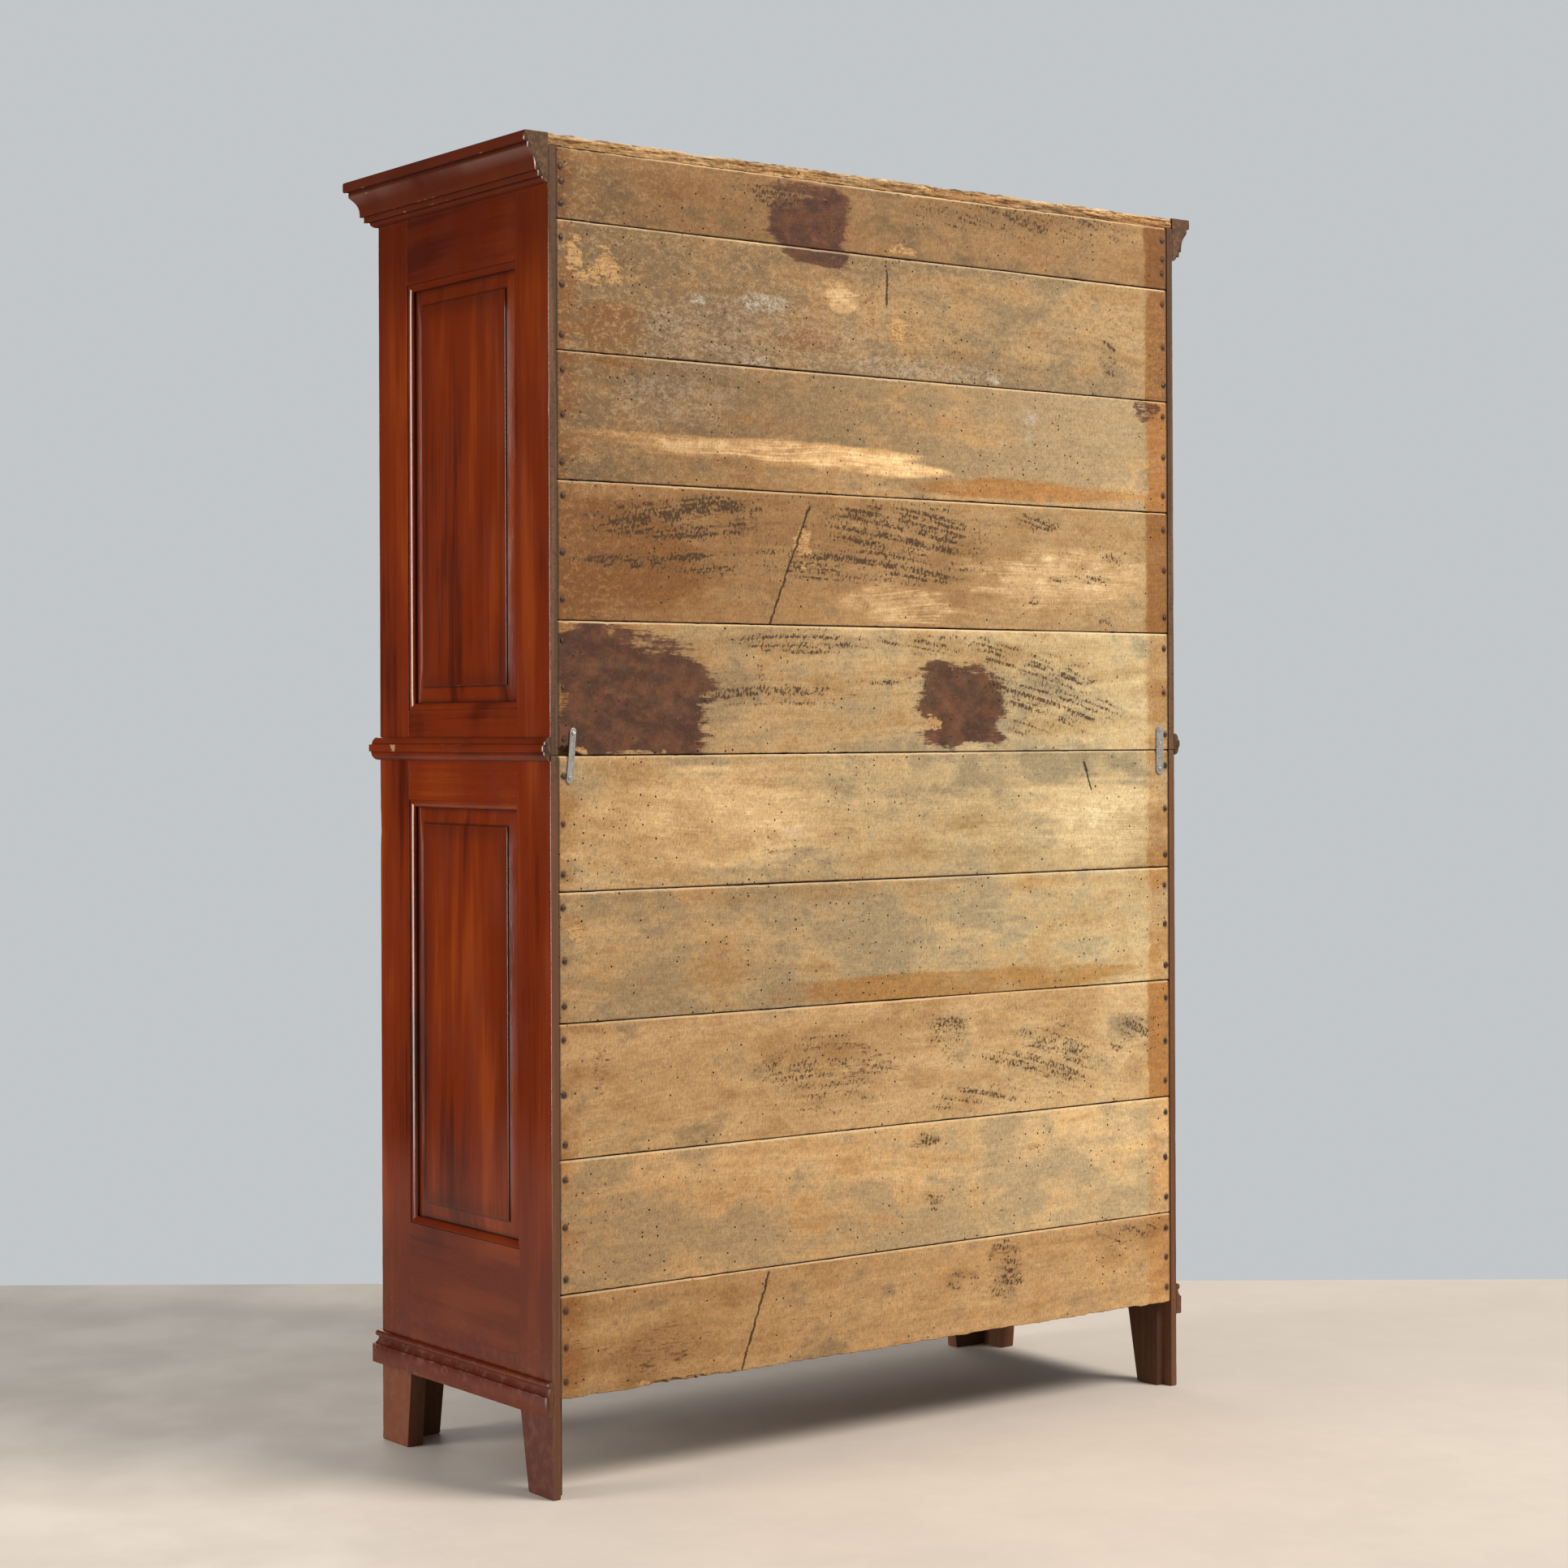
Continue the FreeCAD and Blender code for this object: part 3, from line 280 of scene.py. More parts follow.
def make_piece(name, parts, body, slot, node):
    """Mesh object from skins, riding on a body with its slot and that slot's finish, in place of one solid."""
    starts = np.cumsum([0] + [len(p["points"]) for p in parts])
    points = np.concatenate([p["points"] for p in parts])
    faces = [p["quads"] + s for p, s in zip(parts, starts)]
    caps = [cap + s for p, s in zip(parts, starts) for cap in p["caps"]]
    corners = np.concatenate([f.ravel() for f in faces] + caps)
    totals = np.concatenate([np.full(sum(len(f) for f in faces), 4), [len(cap) for cap in caps]]).astype(int)
    mesh = bpy.data.meshes.new(name)
    mesh.vertices.add(len(points))
    mesh.vertices.foreach_set("co", points.ravel())
    mesh.loops.add(len(corners))
    mesh.loops.foreach_set("vertex_index", corners)
    mesh.polygons.add(len(totals))
    mesh.polygons.foreach_set("loop_start", np.cumsum(totals) - totals)
    mesh.polygons.foreach_set("use_smooth", np.ones(len(totals), bool))
    mesh.update(calc_edges=True)
    mesh.set_sharp_from_angle(angle=math.radians(SHARP_ANGLE))
    for mark in sorted(parts[0]["marks"]):
        values = np.concatenate([p["marks"][mark] for p in parts])
        wide = values.ndim == 2
        layer = mesh.attributes.new(mark, "FLOAT_VECTOR" if wide else "FLOAT", "POINT")
        layer.data.foreach_set("vector" if wide else "value", values.ravel())
    piece = bpy.data.objects.new(name, mesh)
    bpy.context.scene.collection.objects.link(piece)
    mesh.materials.append(SLOT_FINISHES[slot]())
    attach(piece, body)
    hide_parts(node)


def rounded(corners, radii, steps=3, support=0.0):
    """Outline whose corners are quadratic curves that begin and end one radius away along the two edges.

    With a support, one more point that far outside each curve keeps the edges between them flat in the light.
    """
    def toward(other):
        edge = other - corners
        return edge / np.linalg.norm(edge, axis=-1, keepdims=True)

    behind, ahead = toward(np.roll(corners, 1, axis=-2)), toward(np.roll(corners, -1, axis=-2))
    start = corners + behind * radii[..., None]
    end = corners + ahead * radii[..., None]
    t = np.linspace(0.0, 1.0, steps + 1)[:, None]
    curve = ((1 - t) ** 2 * start[..., None, :] + 2 * t * (1 - t) * corners[..., None, :]
             + t ** 2 * end[..., None, :])
    if support:
        before, after = start + behind * support, end + ahead * support
        curve = np.concatenate([before[..., None, :], curve, after[..., None, :]], axis=-2)
    return curve.reshape(curve.shape[:-3] + (-1, 2))


def inset(corners, amount):
    """Outline moved inwards: each corner shifts along the inward normals of its two edges."""
    edge = np.roll(corners, -1, axis=-2) - corners
    turn = np.sum(corners[..., 0] * np.roll(corners[..., 1], -1, axis=-1)
                  - np.roll(corners[..., 0], -1, axis=-1) * corners[..., 1], axis=-1)
    normal = np.stack([-edge[..., 1], edge[..., 0]], axis=-1) * np.sign(turn)[..., None, None]
    normal /= np.linalg.norm(normal, axis=-1, keepdims=True)
    return corners + amount * (normal + np.roll(normal, 1, axis=-2))


def rectangle(a0, a1, b0, b1):
    """Corners of a rectangle, in order."""
    return np.array([(a0, b0), (a1, b0), (a1, b1), (a0, b1)])


def columns(places, *values):
    """Values at each place along a bar, side by side: each is a number or an array over the places."""
    return np.stack([value + 0.0 * places for value in values], axis=-1)


def sections(places, across, deep):
    """Corners of a bar's section at each place along it, from their places across and in depth."""
    return np.stack(np.broadcast_arrays(columns(places, *across), np.asarray(deep, float)), axis=-1)


RING_SPACING = 0.016
ROUND_STEPS = 3
EDGE_SUPPORT = 0.0008
CRISP = 0.0002
EDGE_ROWS = 5.7


def member(along, low, high, outline, seed, worn, raw, chips=1.0, tight=False):
    """Bar of wood: a rounded outline carried along one axis, with edges worn and chipped unevenly.

    The axes are across (0), in depth (1) and up (2). outline is the section's corners, and worn how much each is
    rounded, or functions of the places along the bar that give them. raw tells bare wood from the points. A tight
    bar has crisp ends.
    """
    s = sizes()
    count = max(int((high - low) / RING_SPACING), 2)
    if tight:
        places = np.linspace(low, high, count)
    else:
        places = np.linspace(low + 2 * s.arris, high - 2 * s.arris, count)
        places = np.concatenate([[low, low + s.arris], places, [high - s.arris, high]])
    corners = outline(places) if callable(outline) else outline
    corners = np.array(np.broadcast_to(corners, (len(places),) + corners.shape[-2:]))
    if not tight:
        corners[[0, -1]] = inset(corners[[0, -1]], s.arris)
    worn = np.broadcast_to(worn(places) if callable(worn) else np.asarray(worn, float), corners.shape[:2])
    edge = np.arange(corners.shape[1]) * EDGE_ROWS
    uneven = rough(places[:, None] * 38.0, edge, seed)
    knock = uneven + 0.25 * noise(places[:, None] * 5.0, edge, seed + 9)
    bite = worn * chips * s.chip * ramp(0.50, 1.05, knock)
    radii = (CRISP + s.arris * worn) * (1.0 + 0.5 * uneven) + bite
    section = rounded(corners, radii, ROUND_STEPS, EDGE_SUPPORT)
    points = np.zeros(section.shape[:2] + (3,))
    points[..., along] = places[:, None]
    points[..., [1, 2] if along == 0 else [0, 1]] = section
    bulge = np.concatenate([[0.0], np.sin(np.linspace(0.0, math.pi, ROUND_STEPS + 1)), [0.0]])
    wear = (worn * (0.28 + 0.5 * uneven) + 90.0 * bite)[..., None] * bulge
    # Faces deep inside the frame get a mark for painted shade with some dirt
    return loft(points, grain=grained(points, along, seed, 3), raw=raw(points),
                wear=np.clip(wear.reshape(section.shape[:2]), 0.0, 1.0),
                grime=0.5 * ramp(0.017, 0.022, points[..., 1]))


FULL_TURN = 0.9


def turning(profile):
    """Sharpness of each corner of a closed outline from 0 to 1: first where it stands out, then where it is hollow."""
    ahead = np.roll(profile, -1, axis=0) - profile
    behind = profile - np.roll(profile, 1, axis=0)
    bend = np.arctan2(behind[:, 0] * ahead[:, 1] - behind[:, 1] * ahead[:, 0], np.sum(behind * ahead, axis=1))
    bend = bend * np.sign(bend.sum()) / FULL_TURN
    return np.clip(bend, 0.0, 1.0), np.clip(-bend, 0.0, 1.0)


def stick_profile():
    """Moulding round a panel, as distance in from the frame and depth: quirk, quarter round, square back."""
    s = sizes()
    t = np.linspace(0.0, math.pi / 2, 7)
    across = s.quirk_width + (s.stick_width - s.quirk_width) * np.sin(t)
    deep = s.stick_depth - (s.stick_depth - s.quirk_depth) * np.cos(t)
    bow = np.stack([across, deep], axis=-1)
    back = s.panel_setback
    return np.concatenate([[(0.0, s.quirk_depth)], bow, [(s.stick_width, back), (0.0, back)]])


STICK_SPACING = 0.03


def mitred_run(profile, rect, seed, raw=0.0):
    """Profile carried round a rectangle, a length per side, mitred at the corners.

    rect is left, right, low, high. A point lies its own distance in from the side, and its run is shortened by
    that distance at both ends.
    """
    left, right, low, high = rect
    into = profile[None, :, 0]
    deep = profile[:, 1] - profile[:, 1].min()
    # Mark for painted shade with some dirt in the quirk and deep at the moulding's foot
    grime = np.maximum(ramp(0.0016, 0.0004, profile[:, 0]), ramp(0.0045, 0.0065, deep))
    runs = [((left, low), (1, 0), (0, 1), right - left), ((right, high), (-1, 0), (0, -1), right - left),
            ((left, high), (0, -1), (1, 0), high - low), ((right, low), (0, 1), (-1, 0), high - low)]
    parts = []
    for number, (corner, run, inward, span) in enumerate(runs):
        t = np.linspace(0.0, 1.0, max(int(span / STICK_SPACING), 3))[:, None]
        place = into + t * (span - 2 * into)
        points = np.zeros(place.shape + (3,))
        points[..., 0] = corner[0] + run[0] * place + inward[0] * into
        points[..., 2] = corner[1] + run[1] * place + inward[1] * into
        points[..., 1] = profile[None, :, 1]
        knock = rough(place * 40.0, into * 60.0, seed + number)
        parts.append(loft(points, grain=grained(points, 0 if run[0] else 2, seed + number, 5), raw=raw,
                          wear=np.clip(0.10 + 0.3 * knock, 0, 1), grime=grime[None, :] * (0.8 + 0.2 * knock)))
    return parts


PANEL_ROOM = 0.0005
BEVEL_HOLLOW = 0.0006
FIELD_RINGS = np.array([0.0004, 0.0010, 0.0020, 0.006, 0.016, 0.035, 0.07, 0.11])
FIELD_ROUND = np.array([0.0008, 0.0002, 0.0, 0.0, 0.0, 0.0, 0.0, 0.0])
RING_SIDE = 16


def fielded_panel(rect, seed):
    """Panel as rings of rectangles drawn in from its edge: tongue, hollowed bevel, step and flat field."""
    s = sizes()
    left, right, low, high = rect
    face = s.panel_setback
    t = np.linspace(0.0, 1.0, 7)
    bevel_in = PANEL_ROOM + s.bevel * t
    bevel_deep = face - s.bevel_rise * t + BEVEL_HOLLOW * np.sin(math.pi * t)
    field_in = PANEL_ROOM + s.bevel + FIELD_RINGS
    field_deep = face - s.bevel_rise - s.field_step + FIELD_ROUND
    into = np.concatenate([[-s.tongue, -s.tongue], bevel_in, field_in])[:, None]
    deep = np.concatenate([[face + s.tongue, face], bevel_deep, field_deep])[:, None]
    span = np.linspace(0.0, 1.0, RING_SIDE + 1)[:-1]
    nil, one = np.zeros(RING_SIDE), np.ones(RING_SIDE)
    across = np.concatenate([span, one, 1 - span, nil])
    up = np.concatenate([nil, span, one, 1 - span])
    points = np.zeros((len(into), len(across), 3))
    points[..., 0] = left + into + across * (right - left - 2 * into)
    points[..., 2] = low + into + up * (high - low - 2 * into)
    points[..., 1] = deep
    past = into - PANEL_ROOM - s.bevel
    # Mark for painted shade with some dirt at the tongue and along the field's step, and for painted shade fading
    # across the field from the step
    grime = np.maximum(0.75 * ramp(0.009, 0.0, into), 0.9 * ramp(0.0012, 0.0003, np.abs(past)))
    grime = np.maximum(grime, 0.38 * ramp(0.045, 0.001, past) * (past > 0.001)) * np.ones(points.shape[:2])
    wear = 0.5 * ramp(0.0010, 0.0004, np.abs(past - 0.0010)) * (0.3 + noise(across * 30, up * 60, seed))
    return loft(points, grain=grained(points, 2, seed, 7), wear=np.clip(wear, 0, 1), grime=grime,
                raw=ramp(face + 0.001, face + 0.004, points[..., 1]))


RAW_FROM, RAW_FULL = 0.014, 0.017
SCUFF_TOP, SCUFF_FULL = 0.155, 0.12


def unpolished(points):
    """How bare a frame's wood is, by its depth: polished outside, raw inside."""
    return ramp(RAW_FROM, RAW_FULL, points[..., 1])


def foot_share(places):
    """Share of a foot's taper by height: all of it on the floor and none from the plinth up."""
    return np.clip(1.0 - places / FOOT_HEIGHT, 0.0, 1.0)


def panelled_frame(span, low, high, thick, stile, rails, seed, tapers=None, rebate=0.0):
    """Two stiles, two rails and the moulding stuck round their inner edges, in the frame's own plane.

    tapers is the narrowing of the two feet, where there are feet; rebate is the step at the last stile's back.
    """
    s = sizes()
    left, right = span
    inner_left, inner_right = left + stile, right - stile
    bottom, top = low + rails[0], high - rails[1]
    foot = 0.0 if tapers else low
    front_taper, rear_taper = tapers or (0.0, 0.0)

    def inside(points):
        if not rebate:
            return unpolished(points)
        rear = ramp(right - 0.0028, right - 0.0004, points[..., 0]) * ramp(0.0002, 0.0010, points[..., 1])
        return np.maximum(unpolished(points), rear)

    def front_outline(places):
        edge = inner_left - front_taper * foot_share(places)
        return sections(places, (left, edge, edge, left), (0.0, 0.0, thick, thick))

    def rear_outline(places):
        edge = inner_right + rear_taper * foot_share(places)
        if not rebate:
            return sections(places, (edge, right, right, edge), (0.0, 0.0, thick, thick))
        lip, step = s.rebate_lip, right - rebate
        return sections(places, (edge, right, right, step, step, edge), (0.0, 0.0, lip, lip, thick, thick))

    def scuffed(places):
        return ramp(SCUFF_TOP, SCUFF_FULL, places) if tapers else 0.0

    def front_worn(places):
        return columns(places, 1.0, scuffed(places), 0.0, 0.0)

    def rear_worn(places):
        hidden = (0.0, 0.0, 0.0) if rebate else (0.0,)
        return columns(places, scuffed(places), 1.0, 0.6, *hidden)

    def rail(under, over, number):
        return member(0, inner_left, inner_right, rectangle(0.0, thick, under, over), seed + number, np.zeros(4),
                      inside, 0.0, True)

    sight = (inner_left, inner_right, bottom, top)
    w = s.stick_width
    back = rectangle(0.0, w, s.panel_setback + s.tongue, thick)
    parts = [member(2, foot, high, front_outline, seed, front_worn, inside),
             member(2, foot, high, rear_outline, seed + 1, rear_worn, inside),
             rail(low, bottom, 2), rail(top, high, 3),
             *mitred_run(stick_profile(), sight, seed + 4), *mitred_run(back, sight, seed + 8, raw=1.0)]
    return parts, (sight[0] + w, sight[1] - w, sight[2] + w, sight[3] - w)


FACING = {
    "right": ([[0, -1, 0], [1, 0, 0], [0, 0, 1]], (X_OUT, 0, 0)),
    "left": ([[0, 1, 0], [1, 0, 0], [0, 0, 1]], (-X_OUT, 0, 0)),
    "front": ([[1, 0, 0], [0, 1, 0], [0, 0, 1]], (0, Y_FRONT, 0)),
    "front_left": ([[-1, 0, 0], [0, 1, 0], [0, 0, 1]], (0, Y_FRONT, 0)),
}


def facing(parts, way):
    """Skins drawn in a frame's own plane, turned to face a side or the front of the case."""
    return [moved(part, *FACING[way]) for part in parts]


# Materials

class Level:
    """Output of a node. Sums, differences, products and quotients of levels become math nodes."""

    def __init__(self, nodes, socket):
        self.nodes, self.socket = nodes, socket

    def __add__(self, other):
        return self.nodes.math("ADD", self, other)

    def __sub__(self, other):
        return self.nodes.math("SUBTRACT", self, other)

    def __rsub__(self, other):
        return self.nodes.math("SUBTRACT", other, self)

    def __mul__(self, other):
        return self.nodes.math("MULTIPLY", self, other)

    def __truediv__(self, other):
        return self.nodes.math("DIVIDE", self, other)

    def step(self, low, high, bottom=0.0, top=1.0):
        """Smooth step from bottom to top as the level goes from low to high."""
        return self.nodes.add("MapRange", 0, (self, low, high, bottom, top), interpolation_type="SMOOTHSTEP")


class Nodes:
    """Node tree of one material, built with short calls."""

    def __init__(self, name):
        self.material = bpy.data.materials.new(name)
        self.material.use_nodes = True
        self.tree = self.material.node_tree
        self.tree.nodes.clear()
        output = self.tree.nodes.new("ShaderNodeOutputMaterial")
        self.shader = self.tree.nodes.new("ShaderNodeBsdfPrincipled")
        self.tree.links.new(self.shader.outputs[0], output.inputs[0])
        self.place = self.add("TexCoord", "Object")

    def put(self, socket, value):
        """Links a level to a socket, or sets a constant on it."""
        if isinstance(value, Level):
            self.tree.links.new(value.socket, socket)
        elif socket.type == "RGBA":
            socket.default_value = tuple(value)[:3] + (1.0,)
        else:
            socket.default_value = value

    def add(self, kind, output, inputs=(), **settings):
        """New node with its settings and its inputs, in order or by name, as the level of one output."""
        node = self.tree.nodes.new("ShaderNode" + kind)
        for name, value in settings.items():
            setattr(node, name, value)
        for socket, value in inputs.items() if isinstance(inputs, dict) else enumerate(inputs):
            self.put(node.inputs[socket], value)
        return Level(self, node.outputs[output])

    def mark(self, name, output="Fac"):
        """Value or vector that the mesh carries at its points."""
        return self.add("Attribute", output, attribute_name=name)

    def split(self, vector):
        node = self.add("SeparateXYZ", 0, [vector]).socket.node
        return [Level(self, socket) for socket in node.outputs]

    def marks(self, name):
        """Three values that the mesh carries as one vector."""
        return self.split(self.mark(name, "Vector"))

    def join(self, x, y, z):
        return self.add("CombineXYZ", 0, (x, y, z))

    def math(self, kind, a, b=0.0, clamp=False):
        return self.add("Math", 0, (a, b), operation=kind, use_clamp=clamp)

    def vector(self, kind, a, b):
        return self.add("VectorMath", 0, (a, b), operation=kind)

    def noise(self, vector, stretch, detail=4.0, roughness=0.5, distortion=0.0):
        """Fractal noise of a vector that is first stretched along its axes, or alike along all of them."""
        stretch = stretch if isinstance(stretch, tuple) else (stretch,) * 3
        return self.add("TexNoise", 0, {"Vector": self.vector("MULTIPLY", vector, stretch), "Scale": 1.0,
                                        "Detail": detail, "Roughness": roughness, "Distortion": distortion})

    def cells(self, vector, scale):
        """Distance to the nearest of scattered points, and a random colour per point."""
        near = self.add("TexVoronoi", "Distance", {"Vector": vector, "Scale": scale, "Randomness": 1.0},
                        voronoi_dimensions="2D")
        return near, Level(self, near.socket.node.outputs["Color"])

    def mix(self, share, a, b, kind="MIX"):
        return self.add("Mix", 2, {0: share, 6: a, 7: b}, data_type="RGBA", blend_type=kind)

    def over(self, base, *coats):
        """Coats laid over a base one after another, each given by its share and its colour."""
        for share, coat in coats:
            base = self.mix(share, base, coat)
        return base

    def bump(self, height, strength, distance, **under):
        return self.add("Bump", 0, {"Strength": strength, "Distance": distance, "Height": height, **under})

    def done(self, base, roughness, **inputs):
        """Material with its colour, its roughness and any other inputs of the shader."""
        inputs = {"Base Color": base, "Roughness": roughness, **inputs}
        for name, value in inputs.items():
            self.put(self.shader.inputs[name.replace("_", " ")], value)
        return self.material


def made_once(build):
    """Keeps one material per function, so pieces share it. The function gets its nodes and the finish colours."""
    def get():
        name = build.__name__
        return bpy.data.materials.get(name) or build(Nodes(name), finish())
    return get


# Colours of small marks on the case
PORE = (0.022, 0.006, 0.004)
FOOT_BARE = (0.200, 0.070, 0.016)
# Dust with a painted sheen near the top of the cornice
CORNICE_DUST_AND_SHEEN = (0.120, 0.050, 0.030)
# Painted highlight in the top of the cornice's cove
COVE_PAINTED_SHEEN = (0.160, 0.085, 0.066)
SCUFF = (0.150, 0.050, 0.018)
DRY_STREAK = (0.150, 0.075, 0.034)
DRY_FLECK = (0.055, 0.03, 0.018)
DRY_LOWER = (0.170, 0.062, 0.026)
# Near black for painted shade with some dirt in the corners
SHADE_AND_GRIME = (0.014, 0.004, 0.002)

# Colours of small marks on the back boards
BLEACHED = (0.70, 0.53, 0.30)
CHALK = (0.46, 0.32, 0.175)
DIRT = (0.15, 0.10, 0.058)
WHITE_POWDER = (0.47, 0.42, 0.34)
PATCH_BROWN = (0.128, 0.045, 0.022)
PATCH_FLAKE = (0.22, 0.10, 0.045)
PATCH_SPECK = (0.035, 0.017, 0.011)
PATCH_FIBRE = (0.22, 0.09, 0.045)
MOULD_VEIL = (0.185, 0.105, 0.042)
MOULD_DASH = (0.050, 0.025, 0.009)
WORM_HOLE = (0.012, 0.007, 0.005)
GOUGE = (0.060, 0.030, 0.014)
# Painted highlight along the top chamfers of the boards and the top of the roof's rear edge
PAINTED_EDGE_HIGHLIGHT = (0.72, 0.52, 0.29)
SEAM_DARK = (0.055, 0.032, 0.02)
CRACK = (0.03, 0.016, 0.01)
NAIL_RUST = (0.060, 0.030, 0.018)

# Second colours of the plainer finishes
INNER_DARK = (0.20, 0.10, 0.045)
ZINC_DULL = (0.30, 0.285, 0.26)
BRASS_BROWN = (0.14, 0.085, 0.035)


@made_once
def polished_case_wood(n, c):
    """Red-brown polished hardwood: ribbons and pores along the grain, bare worn edges, dull raw faces."""
    grain = n.mark("grain", "Vector")
    wear, raw, grime = (n.mark(name) for name in ("wear", "raw", "grime"))
    deep, height = n.split(n.place)[1:]
    ribbon = n.noise(grain, (1.4, 13.0, 13.0), 2.5, 0.5, 0.5)
    streak = n.noise(grain, (3.0, 95.0, 75.0), 4.0, 0.6, 0.2)
    cloud = n.noise(n.place, (4.2, 4.2, 1.89), 3.0, 0.55)
    pores = n.noise(grain, (26.0, 620.0, 500.0), 2.0).step(0.60, 0.74)
    tone = ribbon * 0.45 + cloud * 0.37 + streak * 0.18
    base = n.over(c.polish_dark, (tone.step(0.38, 0.50), c.polish_mid), (tone.step(0.50, 0.63), c.polish_light),
                  (pores * 0.28, PORE))

    # Painted shade on the frieze under the cornice, darker towards the bottom, worn front feet, dust with a painted
    # sheen on the cornice and a painted highlight in the top of its cove
    foot = height.step(0.16, 0.13)
    # Band in the top of the cove that gets a painted highlight
    hollow = height.step(COVE_LOW, COVE_TOP, 0.0, 0.5) * height.step(COVE_TOP + 0.006, COVE_TOP)
    # The first coat is painted shade on the frieze under the cornice
    base = n.over(base, (height.step(2.10, 2.30, 0.0, 0.6), c.polish_dark),
                  (height.step(0.52, 0.36, 0.0, 0.5), c.polish_dark), (height.step(0.24, 0.12, 0.0, 0.3), c.polish_mid),
                  (foot * deep.step(0.10, 0.20, 0.0, 0.55), c.polish_dark),
                  (foot * deep.step(0.0, -0.10, 0.0, 0.30), FOOT_BARE),
                  (height.step(ROOF_TOP - 0.10, ROOF_TOP - 0.08, 0.0, 0.12), CORNICE_DUST_AND_SHEEN),
                  (hollow * cloud.step(0.25, 0.6), COVE_PAINTED_SHEEN))

    # Scuffs low down, bare edges, raw inner faces, and painted shade with some dirt in the corners: quirks, hollows,
    # the field's step and the faces inside the frames
    low = height.step(0.36, 0.05)
    rubbed = n.math("MULTIPLY", low, n.noise(n.place, 48.0, 5.0, 0.7).step(0.46, 0.68), clamp=True)
    fray = n.noise(n.place, 160.0, 4.0, 0.6)
    edge = (wear + low * (wear * 0.25) + fray * 0.5).step(0.58, 0.92)
    dry = n.over(c.bare, (streak.step(0.38, 0.66), DRY_STREAK), (fray.step(0.50, 0.64) * 0.6, DRY_FLECK),
                 (height.step(1.32, 1.26, 0.0, 0.5), DRY_LOWER))
    # The last coat is painted shade with some dirt in the corners and on the inner faces
    base = n.over(base, (rubbed * 0.30, SCUFF), (edge * 0.75, c.worn), (raw, dry), (grime * 0.85, SHADE_AND_GRIME))

    gloss = n.noise(n.place, (9.0, 9.0, 4.5), 4.0, 0.6).step(0.3, 0.7, 0.13, 0.24)
    gloss = gloss + n.math("MAXIMUM", edge, rubbed) * 0.35 + low * 0.22
    gloss = n.math("ADD", gloss, raw * 0.65, clamp=True)
    ripple = n.noise(grain, (1.6, 14.0, 14.0), 2.0)
    normal = n.bump(ripple - pores * 0.12, 0.22, 0.0016)
    normal = n.bump(streak * (raw + 0.06), 0.5, 0.0008, Normal=normal)
    return n.done(base, gloss, Normal=normal, Specular_IOR_Level=0.38)


